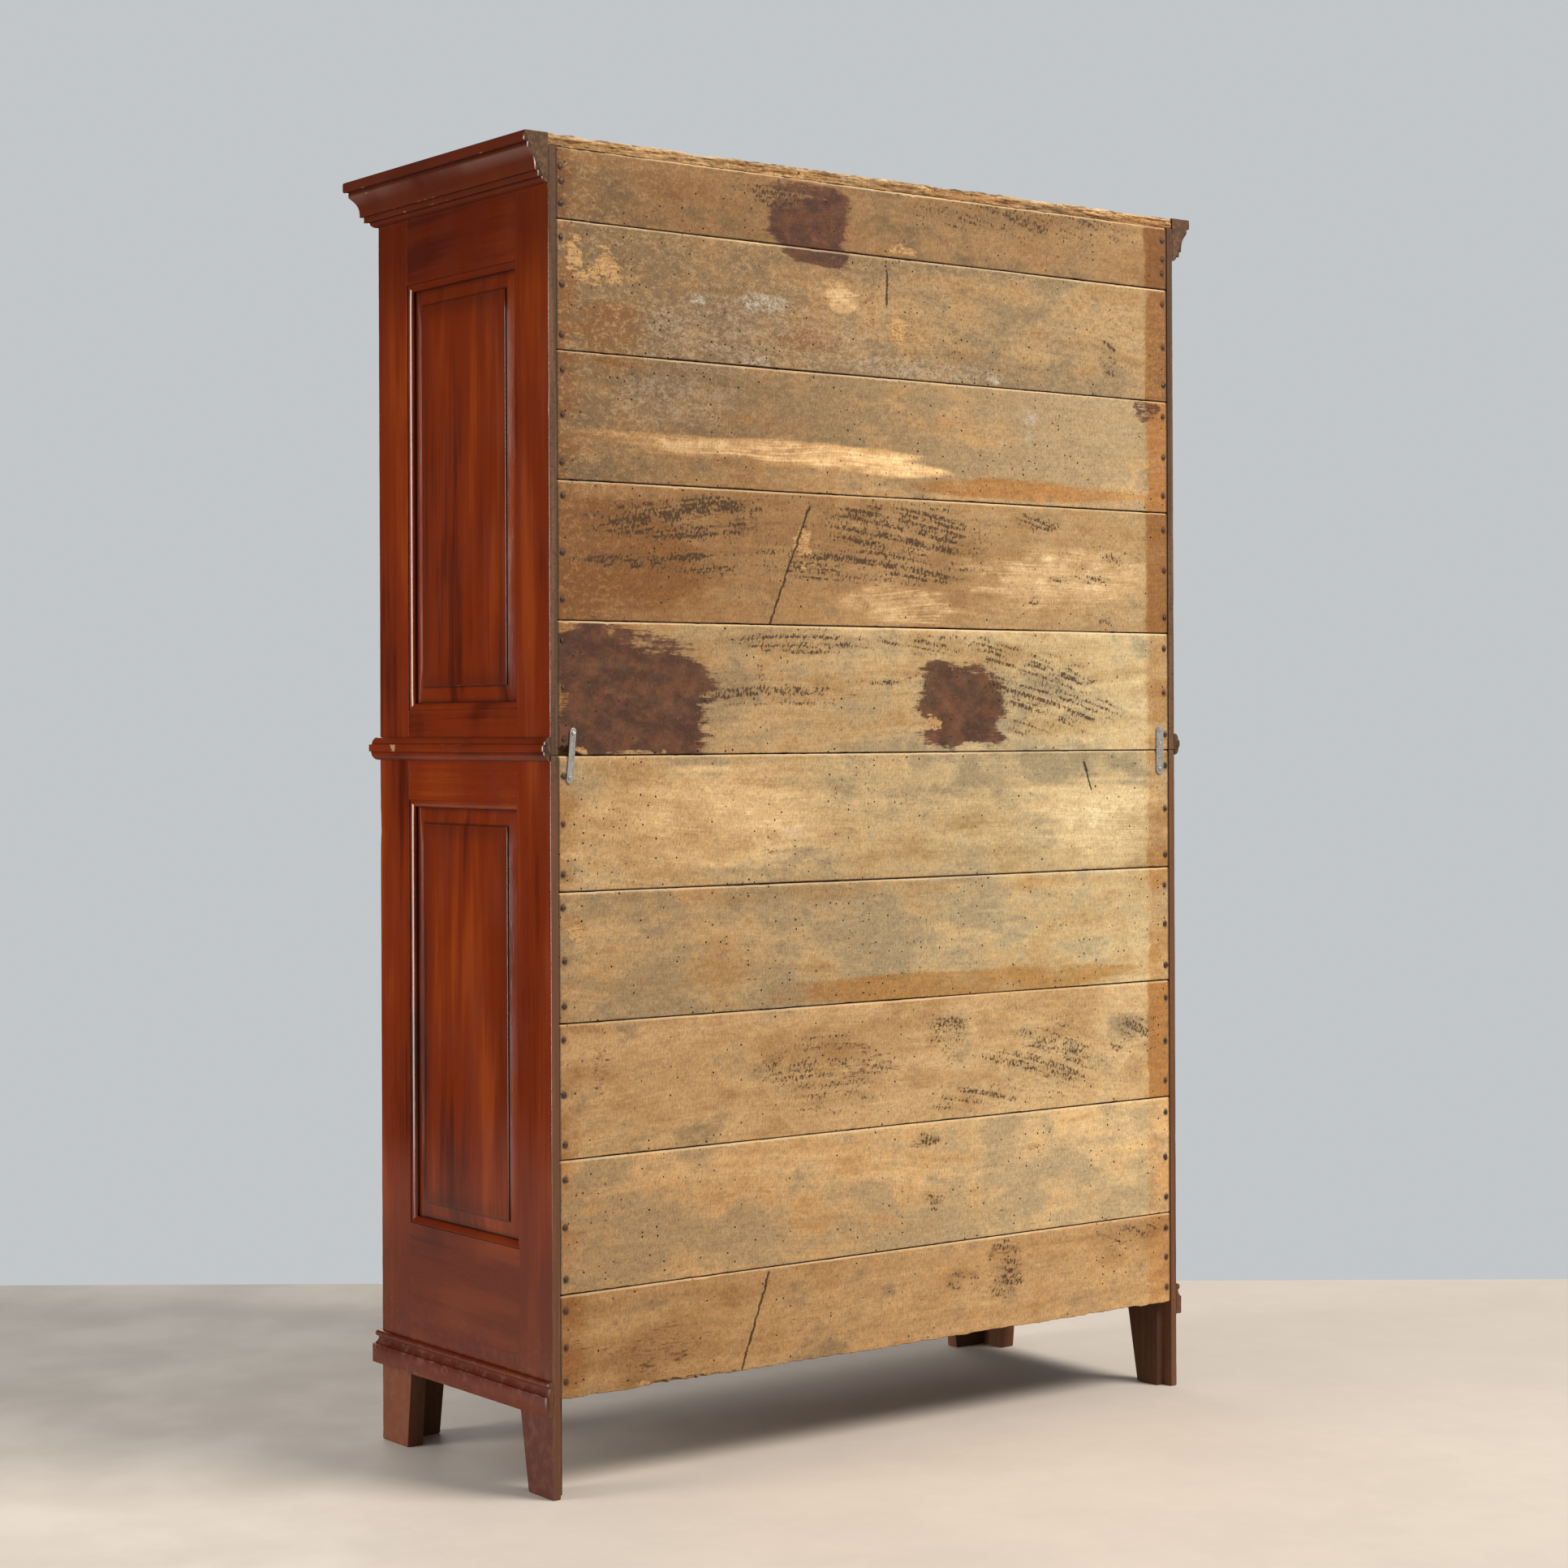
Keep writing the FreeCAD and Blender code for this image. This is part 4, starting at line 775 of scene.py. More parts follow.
@made_once
def rough_back_boards(n, c):
    """Weathered softwood boards: figure along the board, stains, mould dashes, worm holes and torn spots."""
    grain = n.mark("grain", "Vector")
    purple, orange, olive = n.marks("stain")
    mould, worm, torn = n.marks("marks")
    light, white, crack = n.marks("tone")
    crust, seam, rust = n.marks("extra")
    warmth = n.mark("warmth")
    along, deep, up = n.split(n.place)
    rise = up + (deep - BOARD_FACE)
    flat = n.join(along, rise, deep)
    leaning = n.join(along + rise * 0.2, rise, 0.0)
    haze = n.noise(flat, (2.6, 5.0, 1.0), 5.0, 0.6, 0.4)
    cloud = n.noise(flat, (9.0, 17.0, 1.0), 5.0, 0.62, 0.3)
    blotch = n.noise(flat, (26.0, 44.0, 1.0), 4.0, 0.6, 0.3)
    flake = n.noise(flat, (66.0, 96.0, 1.0), 5.0, 0.74)
    speck = n.noise(flat, (210.0, 260.0, 1.0), 3.0, 0.72)
    shreds = n.noise(flat, (40.0, 320.0, 1.0), 3.0, 0.6)
    fuzz = n.noise(leaning, (290.0, 84.0, 1.0), 3.0, 0.6)
    stroke = n.noise(leaning, (200.0, 112.0, 1.0), 2.0, 0.6)
    wander = n.noise(grain, (1.3, 3.0, 3.0), 2.0)
    grain_along, grain_up = n.split(grain)[:2]
    figure = n.join(grain_along, grain_up + wander * 0.16, deep)
    bands = n.noise(figure, (0.9, 26.0, 4.0), 3.0, 0.55)
    fine = n.noise(figure, (7.0, 260.0, 30.0), 3.0, 0.6)

    # Wood, grey bloom, bleached fibres and orange stain
    tone = haze * 0.40 + bands * 0.22 + cloud * 0.38
    slow = (cloud - 0.5) * 2.2 + (haze - 0.5) * 1.6
    bleach = (fine - 0.5) * 1.1 - olive + (blotch - 0.5) * 1.2
    ruddy = n.noise(n.vector("ADD", flat, (3.7, 1.9, 0.0)), (6.0, 15.0, 1.0), 5.0, 0.62, 0.4)
    warm = orange + (ruddy - 0.46) * 1.5
    base = n.over(c.board_dark, (tone.step(0.34, 0.62), c.board_light),
                  ((olive + slow).step(0.10, 0.70) * 0.9, c.olive), (bleach.step(0.22, 0.85) * 0.9, BLEACHED),
                  (warm.step(0.16, 0.80) * 0.88, c.orange))

    # Grit, pits and each board's brightness and warmth; the brightness is partly the board's own tone and dirt and
    # partly painted light falling off along the back and towards the top
    shade = (fuzz * 0.95 + speck * 0.75 + fine * 0.40 + flake * 0.60 + blotch * 0.40 - 0.55) * light
    pits = n.noise(flat, (330.0, 260.0, 1.0), 1.0).step(0.64, 0.76) * blotch.step(0.40, 0.62, 0.1, 0.6)
    shade = shade * (1.0 - pits)
    tint = n.join(shade, shade * (1.0 - warmth * 0.19), shade * (1.0 - warmth * 0.35))
    base = n.mix(1.0, base, tint, "MULTIPLY")

    # Chalky crust, dirt and white powder
    chalky = crust * (speck * 0.5 + flake).step(0.74, 0.92)
    dirty = crust * (speck * 0.4 + flake).step(0.70, 0.54)
    powder = flake * 0.6 + speck * 0.4
    base = n.over(base, (chalky * 0.42, CHALK), (dirty * 0.5, DIRT), (white * powder.step(0.42, 0.62), WHITE_POWDER))

    # Purple brown patches with a frayed rim
    rim = purple + (flake - 0.5) + (shreds - 0.5) * 0.7 + (blotch - 0.5) * 0.9
    mottle = n.noise(flat, (26.0, 30.0, 1.0), 5.0, 0.65)
    skin = n.over(c.purple, (mottle.step(0.40, 0.66), PATCH_BROWN), (flake.step(0.58, 0.72, 0.0, 0.4), PATCH_FLAKE),
                  (speck.step(0.54, 0.68, 0.0, 0.8), PATCH_SPECK), (fuzz.step(0.56, 0.74, 0.0, 0.4), PATCH_FIBRE))
    base = n.mix(rim.step(0.26, 0.58) * blotch.step(0.66, 0.40, 0.90, 0.97), base, skin)

    # Mould as dashes in rows that arch across the back
    aside = along - 0.22
    row_up = up + aside * aside * 0.22 + wander * 0.05
    rows = n.noise(n.join(along, row_up, 0.0), (1.2, 88.0, 1.0), 1.0).step(0.40, 0.60)
    breaks = n.noise(flat, (17.0, 34.0, 1.0), 4.0, 0.65).step(0.34, 0.54, 0.25, 1.0)
    level = mould * breaks * (rows * 0.5 + 0.5)
    dash = (level * 0.32 + stroke).step(0.70, 0.80) * level.step(0.02, 0.20)
    base = n.over(base, (level * 0.45, MOULD_VEIL), (dash * 0.86, MOULD_DASH))

    # Worm holes: some of many scattered points, each with its own bore
    near, pick = n.cells(n.join(along, rise, 0.0), 62.0)
    chance, bore = n.split(pick)[:2]
    crowd = n.noise(flat, (8.0, 13.0, 1.0), 3.0).step(0.42, 0.60, -0.1, 0.75)
    chosen = (worm * crowd + chance).step(0.95, 0.97)
    hole = (near / (bore * 0.06 + 0.07)).step(1.15, 0.8) * chosen

    # Torn wood, seams with a painted highlight on the top chamfers and dark joints, cracks and rust round the nails
    ripped = (flake - 0.5) * 2.6 + torn + (blotch - 0.5) * 2.6
    ripped = ripped.step(0.42, 0.66) * torn.step(0.02, 0.25)
    fibre = (shreds * 0.5 + speck * 0.5).step(0.38, 0.58)
    gouge = torn.step(0.05, 0.3) * stroke.step(0.60, 0.70)
    jitter = (n.noise(flat, (60.0, 60.0, 1.0), 3.0, 0.6) - 0.5) * 0.012
    gap = n.math("ABSOLUTE", crack + jitter).step(0.0030, 0.0013)
    base = n.over(base, (hole, WORM_HOLE), (ripped * 0.9, n.mix(fibre, c.orange, c.torn)), (gouge * 0.85, GOUGE),
                  (n.math("MAXIMUM", seam, 0.0), PAINTED_EDGE_HIGHLIGHT), (n.math("MAXIMUM", seam * -1.0, 0.0), SEAM_DARK),
                  (gap * 0.9, CRACK), (((speck - 0.5) * 0.6 + rust).step(0.15, 0.7), NAIL_RUST))

    relief = fine * 0.3 + fuzz * 0.4 + flake * (crust * 1.2 + 0.3)
    relief = relief - n.math("MAXIMUM", hole, gap) * 2.0 + ripped * shreds * 1.5
    return n.done(base, fine.step(0.3, 0.7, 0.62, 0.85), Normal=n.bump(relief, 0.6, 0.0012), Specular_IOR_Level=0.25)


@made_once
def planed_inner_boards(n, c):
    """Plain planed wood of the shelves, floors and cleats."""
    bands = n.noise(n.place, (1.1, 30.0, 30.0), 3.0, 0.55, 0.4)
    fine = n.noise(n.place, (4.0, 190.0, 190.0), 4.0, 0.6)
    base = n.mix((bands * 0.6 + fine * 0.4).step(0.32, 0.66), INNER_DARK, c.inner)
    return n.done(base, bands.step(0.3, 0.7, 0.5, 0.68), Normal=n.bump(fine, 0.35, 0.0006))


@made_once
def old_ironwork(n, c):
    """Hammered dark iron with blooms of rust."""
    bloom = n.noise(n.place, 130.0, 5.0, 0.65)
    dents = n.noise(n.place, 320.0, 2.0)
    base = n.mix(bloom.step(0.46, 0.66), c.iron, c.rust)
    return n.done(base, bloom.step(0.3, 0.7, 0.42, 0.75), Normal=n.bump(dents, 0.4, 0.0006), Metallic=0.55)


@made_once
def zinc_plated_steel(n, c):
    """Grey zinc with fine scratches and dull spots."""
    spots = n.noise(n.place, 90.0, 4.0, 0.6)
    scratch = n.noise(n.place, (700.0, 20.0, 60.0), 2.0)
    base = n.mix(spots.step(0.42, 0.68), c.zinc, ZINC_DULL)
    gloss = (spots * 0.6 + scratch * 0.4).step(0.3, 0.7, 0.28, 0.52)
    return n.done(base, gloss, Normal=n.bump(scratch, 0.2, 0.0003), Metallic=0.45)


@made_once
def aged_brass(n, c):
    """Brass with a brown skin, brighter where it is handled."""
    skin = n.noise(n.place, 110.0, 4.0, 0.6)
    base = n.mix(skin.step(0.42, 0.66), c.brass, BRASS_BROWN)
    return n.done(base, skin.step(0.3, 0.7, 0.26, 0.5), Normal=n.bump(skin, 0.15, 0.0004), Metallic=0.6)


SLOT_FINISHES = {"polished_wood": polished_case_wood, "raw_board": rough_back_boards, "old_iron": old_ironwork,
                 "zinc_steel": zinc_plated_steel}


def dress_nodes(material, *nodes):
    """Gives the solids a finish in place of their plain colour."""
    for node in nodes:
        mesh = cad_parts[node].data
        mesh.materials.clear()
        mesh.materials.append(material)


# Places on the back boards in millimetres: across, up, half width, half height, strength
DARK_PATCHES = [
    (187, 2340, 96, 74, 0.75), (165, 2280, 84, 22, 0.7), (612, 1442, 172, 122, 0.95), (700, 1515, 66, 56, 0.9),
    (-194, 1420, 104, 88, 0.80), (-699, 2036, 38, 26, 0.45)]
SMUDGES = [
    (400, 1768, 110, 36, 0.6), (610, 1686, 150, 16, 0.55), (518, 251, 80, 50, 0.55), (669, 757, 18, 40, 0.7),
    (208, 251, 56, 12, 0.6), (279, 1161, 12, 32, 0.6), (700, 1560, 60, 30, 0.6), (78, 735, 80, 50, 0.55),
    (720, 240, 40, 60, 0.5), (560, 1600, 120, 24, 0.35), (488, 178, 112, 16, 0.85), (606, 225, 100, 48, 0.45),
    (-299, 301, 40, 55, 0.5), (-93, 577, 40, 27, 0.5), (226, 252, 40, 15, 0.5), (-593, 342, 70, 30, 0.4),
    (430, 2140, 40, 20, 0.4), (200, 2120, 120, 50, 0.3)]
MOULD = [
    (278, 2383, 96, 26, 0.95), (-353, 2394, 300, 40, 0.75), (-205, 2117, 62, 13, 0.9), (-591, 2141, 24, 50, 0.9),
    (480, 1765, 190, 44, 1.0), (396, 1775, 98, 28, 1.0), (560, 1686, 190, 26, 1.0), (297, 1704, 85, 26, 0.7),
    (-14, 1765, 206, 56, 1.0), (-174, 1730, 116, 13, 1.0), (-9, 1689, 240, 34, 0.95), (-398, 1794, 60, 22, 0.9),
    (-632, 1728, 60, 20, 0.7), (-510, 1680, 98, 10, 0.8), (-565, 1600, 50, 20, 0.8), (-384, 1631, 17, 14, 1.0),
    (218, 1540, 165, 30, 1.0), (-137, 1543, 160, 22, 0.85), (340, 1437, 90, 8, 0.95), (180, 1452, 100, 8, 0.95),
    (20, 1467, 100, 8, 1.0), (-80, 1480, 60, 10, 0.9), (-300, 1480, 60, 60, 0.85), (305, 1468, 10, 30, 0.9),
    (230, 1442, 200, 22, 0.75), (-417, 1450, 164, 78, 0.9), (164, 722, 138, 70, 0.7), (-217, 647, 111, 30, 0.8),
    (-392, 712, 163, 68, 0.75), (-660, 741, 65, 60, 0.8), (-147, 777, 50, 50, 0.8), (-100, 572, 32, 20, 0.8),
    (-111, 449, 27, 24, 0.8), (100, 1730, 620, 100, 0.42), (60, 1480, 520, 70, 0.25), (-330, 715, 440, 105, 0.32),
    (-60, 1240, 320, 60, 0.28), (-301, 299, 49, 58, 0.8), (-632, 333, 100, 26, 0.7), (-192, 279, 50, 28, 0.7),
    (606, 225, 90, 45, 0.5)]
TORN = [
    (205, 1735, 20, 34, 0.7), (190, 1690, 16, 20, 0.6), (-43, 2310, 29, 10, 0.9), (718, 2225, 20, 34, 0.9),
    (650, 2215, 28, 34, 0.8), (690, 2190, 30, 20, 0.6), (-32, 2155, 19, 27, 1.0), (-122, 1388, 23, 18, 1.0),
    (719, 1014, 17, 24, 1.0), (-374, 533, 24, 8, 0.9), (485, 182, 100, 12, 0.4), (715, 1338, 22, 8, 0.7)]
WHITE = [
    (444, 2174, 20, 9, 0.9), (296, 2175, 62, 17, 0.9), (303, 2064, 40, 12, 0.7), (-281, 2072, 20, 8, 0.8),
    (-374, 2000, 24, 20, 0.8), (-372, 1968, 15, 12, 0.7), (330, 2110, 280, 70, 0.2), (520, 1980, 150, 50, 0.22),
    (230, 1180, 26, 14, 0.4), (-60, 2080, 200, 20, 0.35)]
PALE = [
    (300, 1902, 330, 20, 1.0), (160, 1892, 220, 18, 1.0), (-60, 1882, 120, 12, 0.8), (-20, 1620, 160, 36, 0.5),
    (106, 2205, 40, 30, 0.7), (-450, 1690, 240, 60, 0.5), (480, 1210, 260, 90, 0.35), (-560, 1200, 160, 90, 0.35)]
WARM = [
    (640, 1690, 190, 118, 0.75), (300, 1090, 560, 14, 0.25), (-380, 1854, 340, 24, 0.65), (3, 1064, 740, 16, 0.32),
    (-284, 872, 480, 26, 0.6), (560, 1640, 150, 50, 0.4), (170, 2120, 90, 22, 0.5), (640, 2090, 90, 60, 0.55)]

# Each board from the bottom up, with the right end on the case's right side: brightness at its right and left ends,
# partly painted light, warmth at its right and left ends, grey bloom, orange stain at its left and right ends, worm
# holes, crust
BOARD_LOOKS = [
    (0.72, 0.95, 0.75, 0.45, 0.12, 0.20, 0.6, 0.15, 0.15), (1.02, 1.38, 0.5, -0.25, 0.42, 0.22, 0.4, 0.25, 0.15),
    (0.80, 1.12, 0.5, -0.2, 0.05, 0.80, 0.4, 0.20, 0.10), (0.84, 1.19, 0.2, -0.75, 0.50, 0.45, 0.4, 0.50, 0.15),
    (0.96, 0.95, 0.05, -0.65, 0.30, 0.50, 0.65, 0.60, 0.20), (0.84, 1.10, 0.3, -0.75, 0.30, 0.45, 0.6, 0.20, 0.20),
    (0.56, 0.82, 1.1, 0.0, 0.12, 0.75, 0.7, 0.15, 0.15), (0.54, 1.19, 0.85, 0.0, 0.48, 0.80, 0.8, 0.40, 0.40),
    (0.62, 0.80, 0.8, 0.0, 0.50, 0.85, 0.8, 0.60, 0.85), (0.48, 0.60, 1.15, 0.55, 0.30, 0.85, 0.8, 0.35, 0.30)]

# Cracks as end points in millimetres, by board
CRACKS = {1: ((291, 356), (354, 180)), 7: ((187, 1801), (283, 1575)), 5: ((-518, 1309), (-540, 1250)),
          9: ((-5, 2268), (-5, 2199))}

# Boards with something of their own: a splintered lower edge, a wide dark seam, and the notch under a mending plate
SPLINTERED, SEAMED, NOTCHED = 1, 5, 6
LOWER_BOARDS, CRUSTED_ABOVE = 5, 6
SPLINTER_X, SPLINTER_NEAR, SPLINTER_REACH = 0.485, 0.02, 0.11
NOTCH_FROM, NOTCH_FULL, NOTCH_HEIGHT = 0.700, 0.742, 0.020
NO_CRACK = 0.1


def blots(spots, x, z, seed, ragged, square=2.0):
    """Largest of several ragged patches: a rounded shape's level, frayed along the grain, through a smooth step.

    The shape is an ellipse for a square of 2, and nearer to a rectangle for more.
    """
    total = np.zeros(np.broadcast(x, z).shape)
    for number, (across, up, half_width, half_height, strength) in enumerate(spots):
        fine = min(120.0, 900.0 / half_width)
        reach = (np.abs((x * 1000 - across) / half_width) ** square
                 + np.abs((z * 1000 - up) / half_height) ** square) ** (1 / square)
        fray = 0.6 * rough(x * fine, z * fine * 3.0, seed + number) + 0.5 * rough(x * 5.0, z * 95.0, seed + number, 2)
        total = np.maximum(total, strength * (1.0 - ramp(0.70, 1.25, reach + ragged * fray)))
    return total


NAIL_ROWS = 3
NAIL_MARGIN = 0.0315
NAIL_FROM_END = 0.009


def nail_places(number):
    """Places of one board's nails, three at each end, each a little off its mark."""
    low, high = BOARDS[number - 1]
    row = np.repeat(np.arange(NAIL_ROWS), 2)
    side = np.tile([-1.0, 1.0], NAIL_ROWS)
    x = side * (high.x - NAIL_FROM_END - 0.004 * lattice(2 * row + side, number, 17))
    apart = (high.z - low.z - 2 * NAIL_MARGIN) / (NAIL_ROWS - 1)
    z = low.z + NAIL_MARGIN + row * apart + 0.012 * (lattice(2 * row + side, number, 19) - 0.5)
    return x, z


END_EASE = 0.0012
EDGE_RINGS = np.array([0.0, 0.0006, 0.0014, 0.0028, 0.0042, 0.0065])
FACE_SPACING = 0.0038
BOARD_RINGS = 374


def back_board(number):
    """One rough board as a section carried across the back, with its rear face a height over across and up.

    The rear face sinks by a slow dish, hollows of the plane, torn spots, a chamfer along the top edge and a small
    round along the bottom one.
    """
    low, high = BOARDS[number - 1]
    seed = 40 + number * 11
    width = high.z - low.z
    x = np.linspace(low.x + END_EASE, high.x - END_EASE, BOARD_RINGS)
    x = np.concatenate([[low.x], x, [high.x]])[:, None]
    margin = EDGE_RINGS[-1]
    middle = np.linspace(margin, width - margin, int(width / FACE_SPACING))[1:-1]
    v = np.concatenate([EDGE_RINGS, middle, width - EDGE_RINGS[::-1]])[None, :]

    # Uneven lower and upper edges
    wave = 0.0004 * (1 + noise(x * 4.0, 0.0, seed)) + 0.0008 * ramp(0.2, 0.8, rough(x * 40.0, 3.0, seed))
    wave_top = 0.0004 * (1 + noise(x * 4.0, 9.0, seed)) + 0.0006 * ramp(0.2, 0.8, rough(x * 40.0, 7.0, seed))
    if number == SPLINTERED:
        splinter = ramp(SPLINTER_REACH, SPLINTER_NEAR, np.abs(x - SPLINTER_X))
        splinter = splinter * ramp(-0.3, 0.6, rough(x * 90, 2.0, seed))
        wave = wave + 0.0022 * (1 + rough(x * 60.0, 1.0, seed)) + 0.007 * splinter
    if number == NOTCHED:
        wave = wave + NOTCH_HEIGHT * ramp(NOTCH_FROM, NOTCH_FULL, x) * (0.75 + 0.25 * rough(x * 160.0, 4.0, seed))
    z = low.z + wave + v / width * (width - wave - wave_top)
    to_low, to_high = z - low.z - wave, high.z - wave_top - z
    share_up = (z - low.z) / width

    # Depth of the rear face
    torn = blots(TORN, x, z, seed, 0.9)
    bevel = 0.0036 + 0.0010 * rough(x * 3.0, 5.0, seed + 3) + 0.0015 * ramp(0.3, 0.9, rough(x * 50.0, 6.0, seed + 4))
    bare = np.clip(1.0 - to_low / 0.0016, 0.0, 1.0)
    sink = 0.0005 * (1 + noise(x * 1.5, share_up * 2.0, seed)) * (2 * share_up - 1) ** 2
    sink = sink + 0.00022 * (1 + rough(x * 5.0, z * 38.0, seed + 5)) + 0.0016 * (1 - np.sqrt(1 - bare ** 2))
    sink = sink + 0.6 * np.clip(bevel - to_high, 0.0, None)
    sink = sink + torn * (0.0014 + 0.0010 * rough(x * 60.0, z * 500.0, seed + 6))
    crack = np.full(z.shape, NO_CRACK)
    if number in CRACKS:
        (x0, z0), (x1, z1) = np.array(CRACKS[number]) / 1000
        run = np.hypot(x1 - x0, z1 - z0)
        away = ((x - x0) * (z1 - z0) - (z - z0) * (x1 - x0)) / run
        along = ((x - x0) * (x1 - x0) + (z - z0) * (z1 - z0)) / run
        past = ramp(0.0, -0.012, along) + ramp(run, run + 0.012, along)
        crack = away + NO_CRACK * past * np.where(away < 0, -1.0, 1.0)
        sink = sink + 0.0009 * ramp(0.007, 0.0, np.abs(crack))
    ring = np.stack(np.broadcast_arrays(x, BOARD_FACE - sink, z), axis=-1)
    inner = ring[:, [-1, 0]].copy()
    inner[..., 1] = BOARD_INNER
    inner[..., 2] = BOARD_JOINTS[number], BOARD_JOINTS[number - 1]
    points = np.concatenate([ring, inner], axis=1)
    points[[0, -1], :-2, 1] -= 0.0009
    px, pz = points[..., 0], points[..., 2]

    def padded(value, fill=0.0):
        """Values of the rear face, with a fill for the two inner points."""
        return np.concatenate([value, np.full(inner.shape[:2], fill)], axis=1)

    # Brightness, partly painted light, warmth and stains from end to end
    bright_right, bright_left, warm_right, warm_left, bloom, left_end, right_end, worm, crust = BOARD_LOOKS[number - 1]
    to_right = ramp(-0.75, 0.75, px)
    under_lip = ramp(-0.685, -0.71, px)
    light = bright_left + (bright_right - bright_left) * to_right
    light = light * (1.0 - 0.12 * (number > LOWER_BOARDS) * under_lip)
    warmth = warm_left + (warm_right - warm_left) * to_right + 0.5 * under_lip
    drift = rough(px * 1.4, pz * 5.0, seed + 20)
    blown = np.clip(bloom * (1.0 + 1.1 * drift), 0.0, 1.0)
    end = left_end * ramp(-0.690, -0.704, px + 0.008 * rough(px * 20, pz * 25.0, seed + 22))
    end = np.maximum(end, right_end * 0.8 * ramp(0.680, 0.755, px + 0.02 * rough(px * 9, pz * 30.0, seed + 23)))
    end = np.maximum(end, blots(WARM, px, pz, seed + 24, 0.5))
    dark_end = ramp(0.0056, 0.0014, high.x - np.abs(px))

    # Rust round the nails, seams with a painted highlight along the top chamfer and a dark joint along the lower edge,
    # crust and patches
    halo = np.zeros(px.shape)
    for across, up in zip(*nail_places(number)):
        halo = np.maximum(halo, 0.75 * np.exp(-((px - across) ** 2 + (0.8 * (pz - up)) ** 2) / 0.0075 ** 2))
    # The light part of the seam is a painted highlight along the top chamfer; the dark part is the joint along the
    # lower edge
    seam = 0.62 * ramp(0.0002, 0.0012, bevel - to_high) * (0.75 + 0.6 * rough(x * 6.0, 2.0, seed + 29))
    seam = np.clip(seam, 0.0, 1.0) - 0.9 * ramp(0.0014 + 0.0016 * (number == SEAMED), 0.0004, to_low)
    crusted = crust + 0.5 * (number > CRUSTED_ABOVE) * ramp(0.45, 0.75, px) - 0.35 * crust * ramp(0.2, -0.4, px)
    own = [patch for patch in DARK_PATCHES if low.z < patch[1] / 1000 < high.z]
    purple = np.maximum(blots(own, px, pz, seed + 25, 0.42, 4.0), 0.5 * blots(SMUDGES, px, pz, seed + 30, 0.9))
    bleached = blots(PALE, px, pz, seed + 27, 0.8)
    face = padded(np.ones(z.shape))[..., None]
    stain = np.stack([purple, end, blown - bleached], axis=-1)
    marks = np.stack([blots(MOULD, px, pz, seed + 26, 0.7), worm * (0.7 + 0.7 * drift), padded(torn)], axis=-1)
    tone = np.stack([light * (1 + 0.45 * bleached), blots(WHITE, px, pz, seed + 28, 0.6), padded(crack, NO_CRACK)],
                    axis=-1)
    extra = np.stack([np.clip(crusted, 0, 1), padded(np.clip(seam, -1, 1)) - 0.9 * dark_end, halo], axis=-1)
    return loft(points, grain=grained(points, 0, seed, 11, 6.0), stain=stain * face, marks=marks * face, tone=tone,
                extra=extra * face, warmth=warmth)


ROOF_RINGS = 420
ROOF_LIP = 0.03


def roof_edge():
    """Roof board as a section carried across, whose rear edge is splintered back by ridged noise along the grain."""
    low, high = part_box("roof_board")
    x = np.concatenate([[low.x], np.linspace(low.x + END_EASE, high.x - END_EASE, ROOF_RINGS), [high.x]])[:, None]
    up = np.linspace(0.0, 1.0, 13)[None, :]
    ragged = rough(x * 26.0, up * 5.0, 301) + 0.6 * rough(x * 90.0, up * 9.0, 302)
    bite = 0.0035 * (1 + ragged) + 0.010 * ramp(0.35, 1.0, rough(x * 7.0, up * 2.0, 303)) * (0.4 + 0.6 * up)
    y = high.y - np.clip(bite, 0.0002, 0.02)
    z = low.z + (high.z - low.z) * up - 0.0018 * ramp(0.6, 1.0, up) * (1 + rough(x * 40.0, 1.0, 304))
    rear = np.stack(np.broadcast_arrays(x, y, z), axis=-1)
    front = np.zeros((len(x), 4, 3))
    front[..., 0] = x
    front[..., 1] = (high.y - ROOF_LIP, low.y, low.y, high.y - ROOF_LIP)
    front[..., 2] = (high.z - 0.0004, high.z - 0.0004, low.z, low.z)
    points = np.concatenate([rear, front], axis=1)
    at_rear = np.concatenate([np.ones(rear.shape[:2]), np.zeros(front.shape[:2])], axis=1)
    px, pz = points[..., 0], points[..., 2]
    torn = at_rear * ramp(-0.25, 0.5, rough(px * 9.0, pz * 240.0, 305))
    dark = at_rear * ramp(0.15, 0.6, rough(px * 12.0, pz * 120.0, 306))
    # Pale top of the rear edge: partly the torn wood and partly a painted highlight along its top arris
    pale = at_rear * ramp(high.z - 0.009, high.z - 0.003, pz) * (0.6 + 0.4 * rough(px * 30.0, 0.0, 307))
    nil = np.zeros(px.shape)
    stain = np.stack([0.45 * dark, 0.6 * at_rear, 0.75 - 0.35 * at_rear], axis=-1)
    marks = np.stack([nil, nil + 0.1, torn], axis=-1)
    tone = np.stack([0.62 + 0.28 * at_rear, 0.9 * pale, nil + NO_CRACK], axis=-1)
    extra = np.stack([0.6 * at_rear, 0.9 * pale - 0.6 * dark * (pale < 0.1), nil], axis=-1)
    return loft(points, grain=points + 2.0, stain=stain, marks=marks, tone=tone, extra=extra)


# Sections of the mouldings, as reach out from the case and height

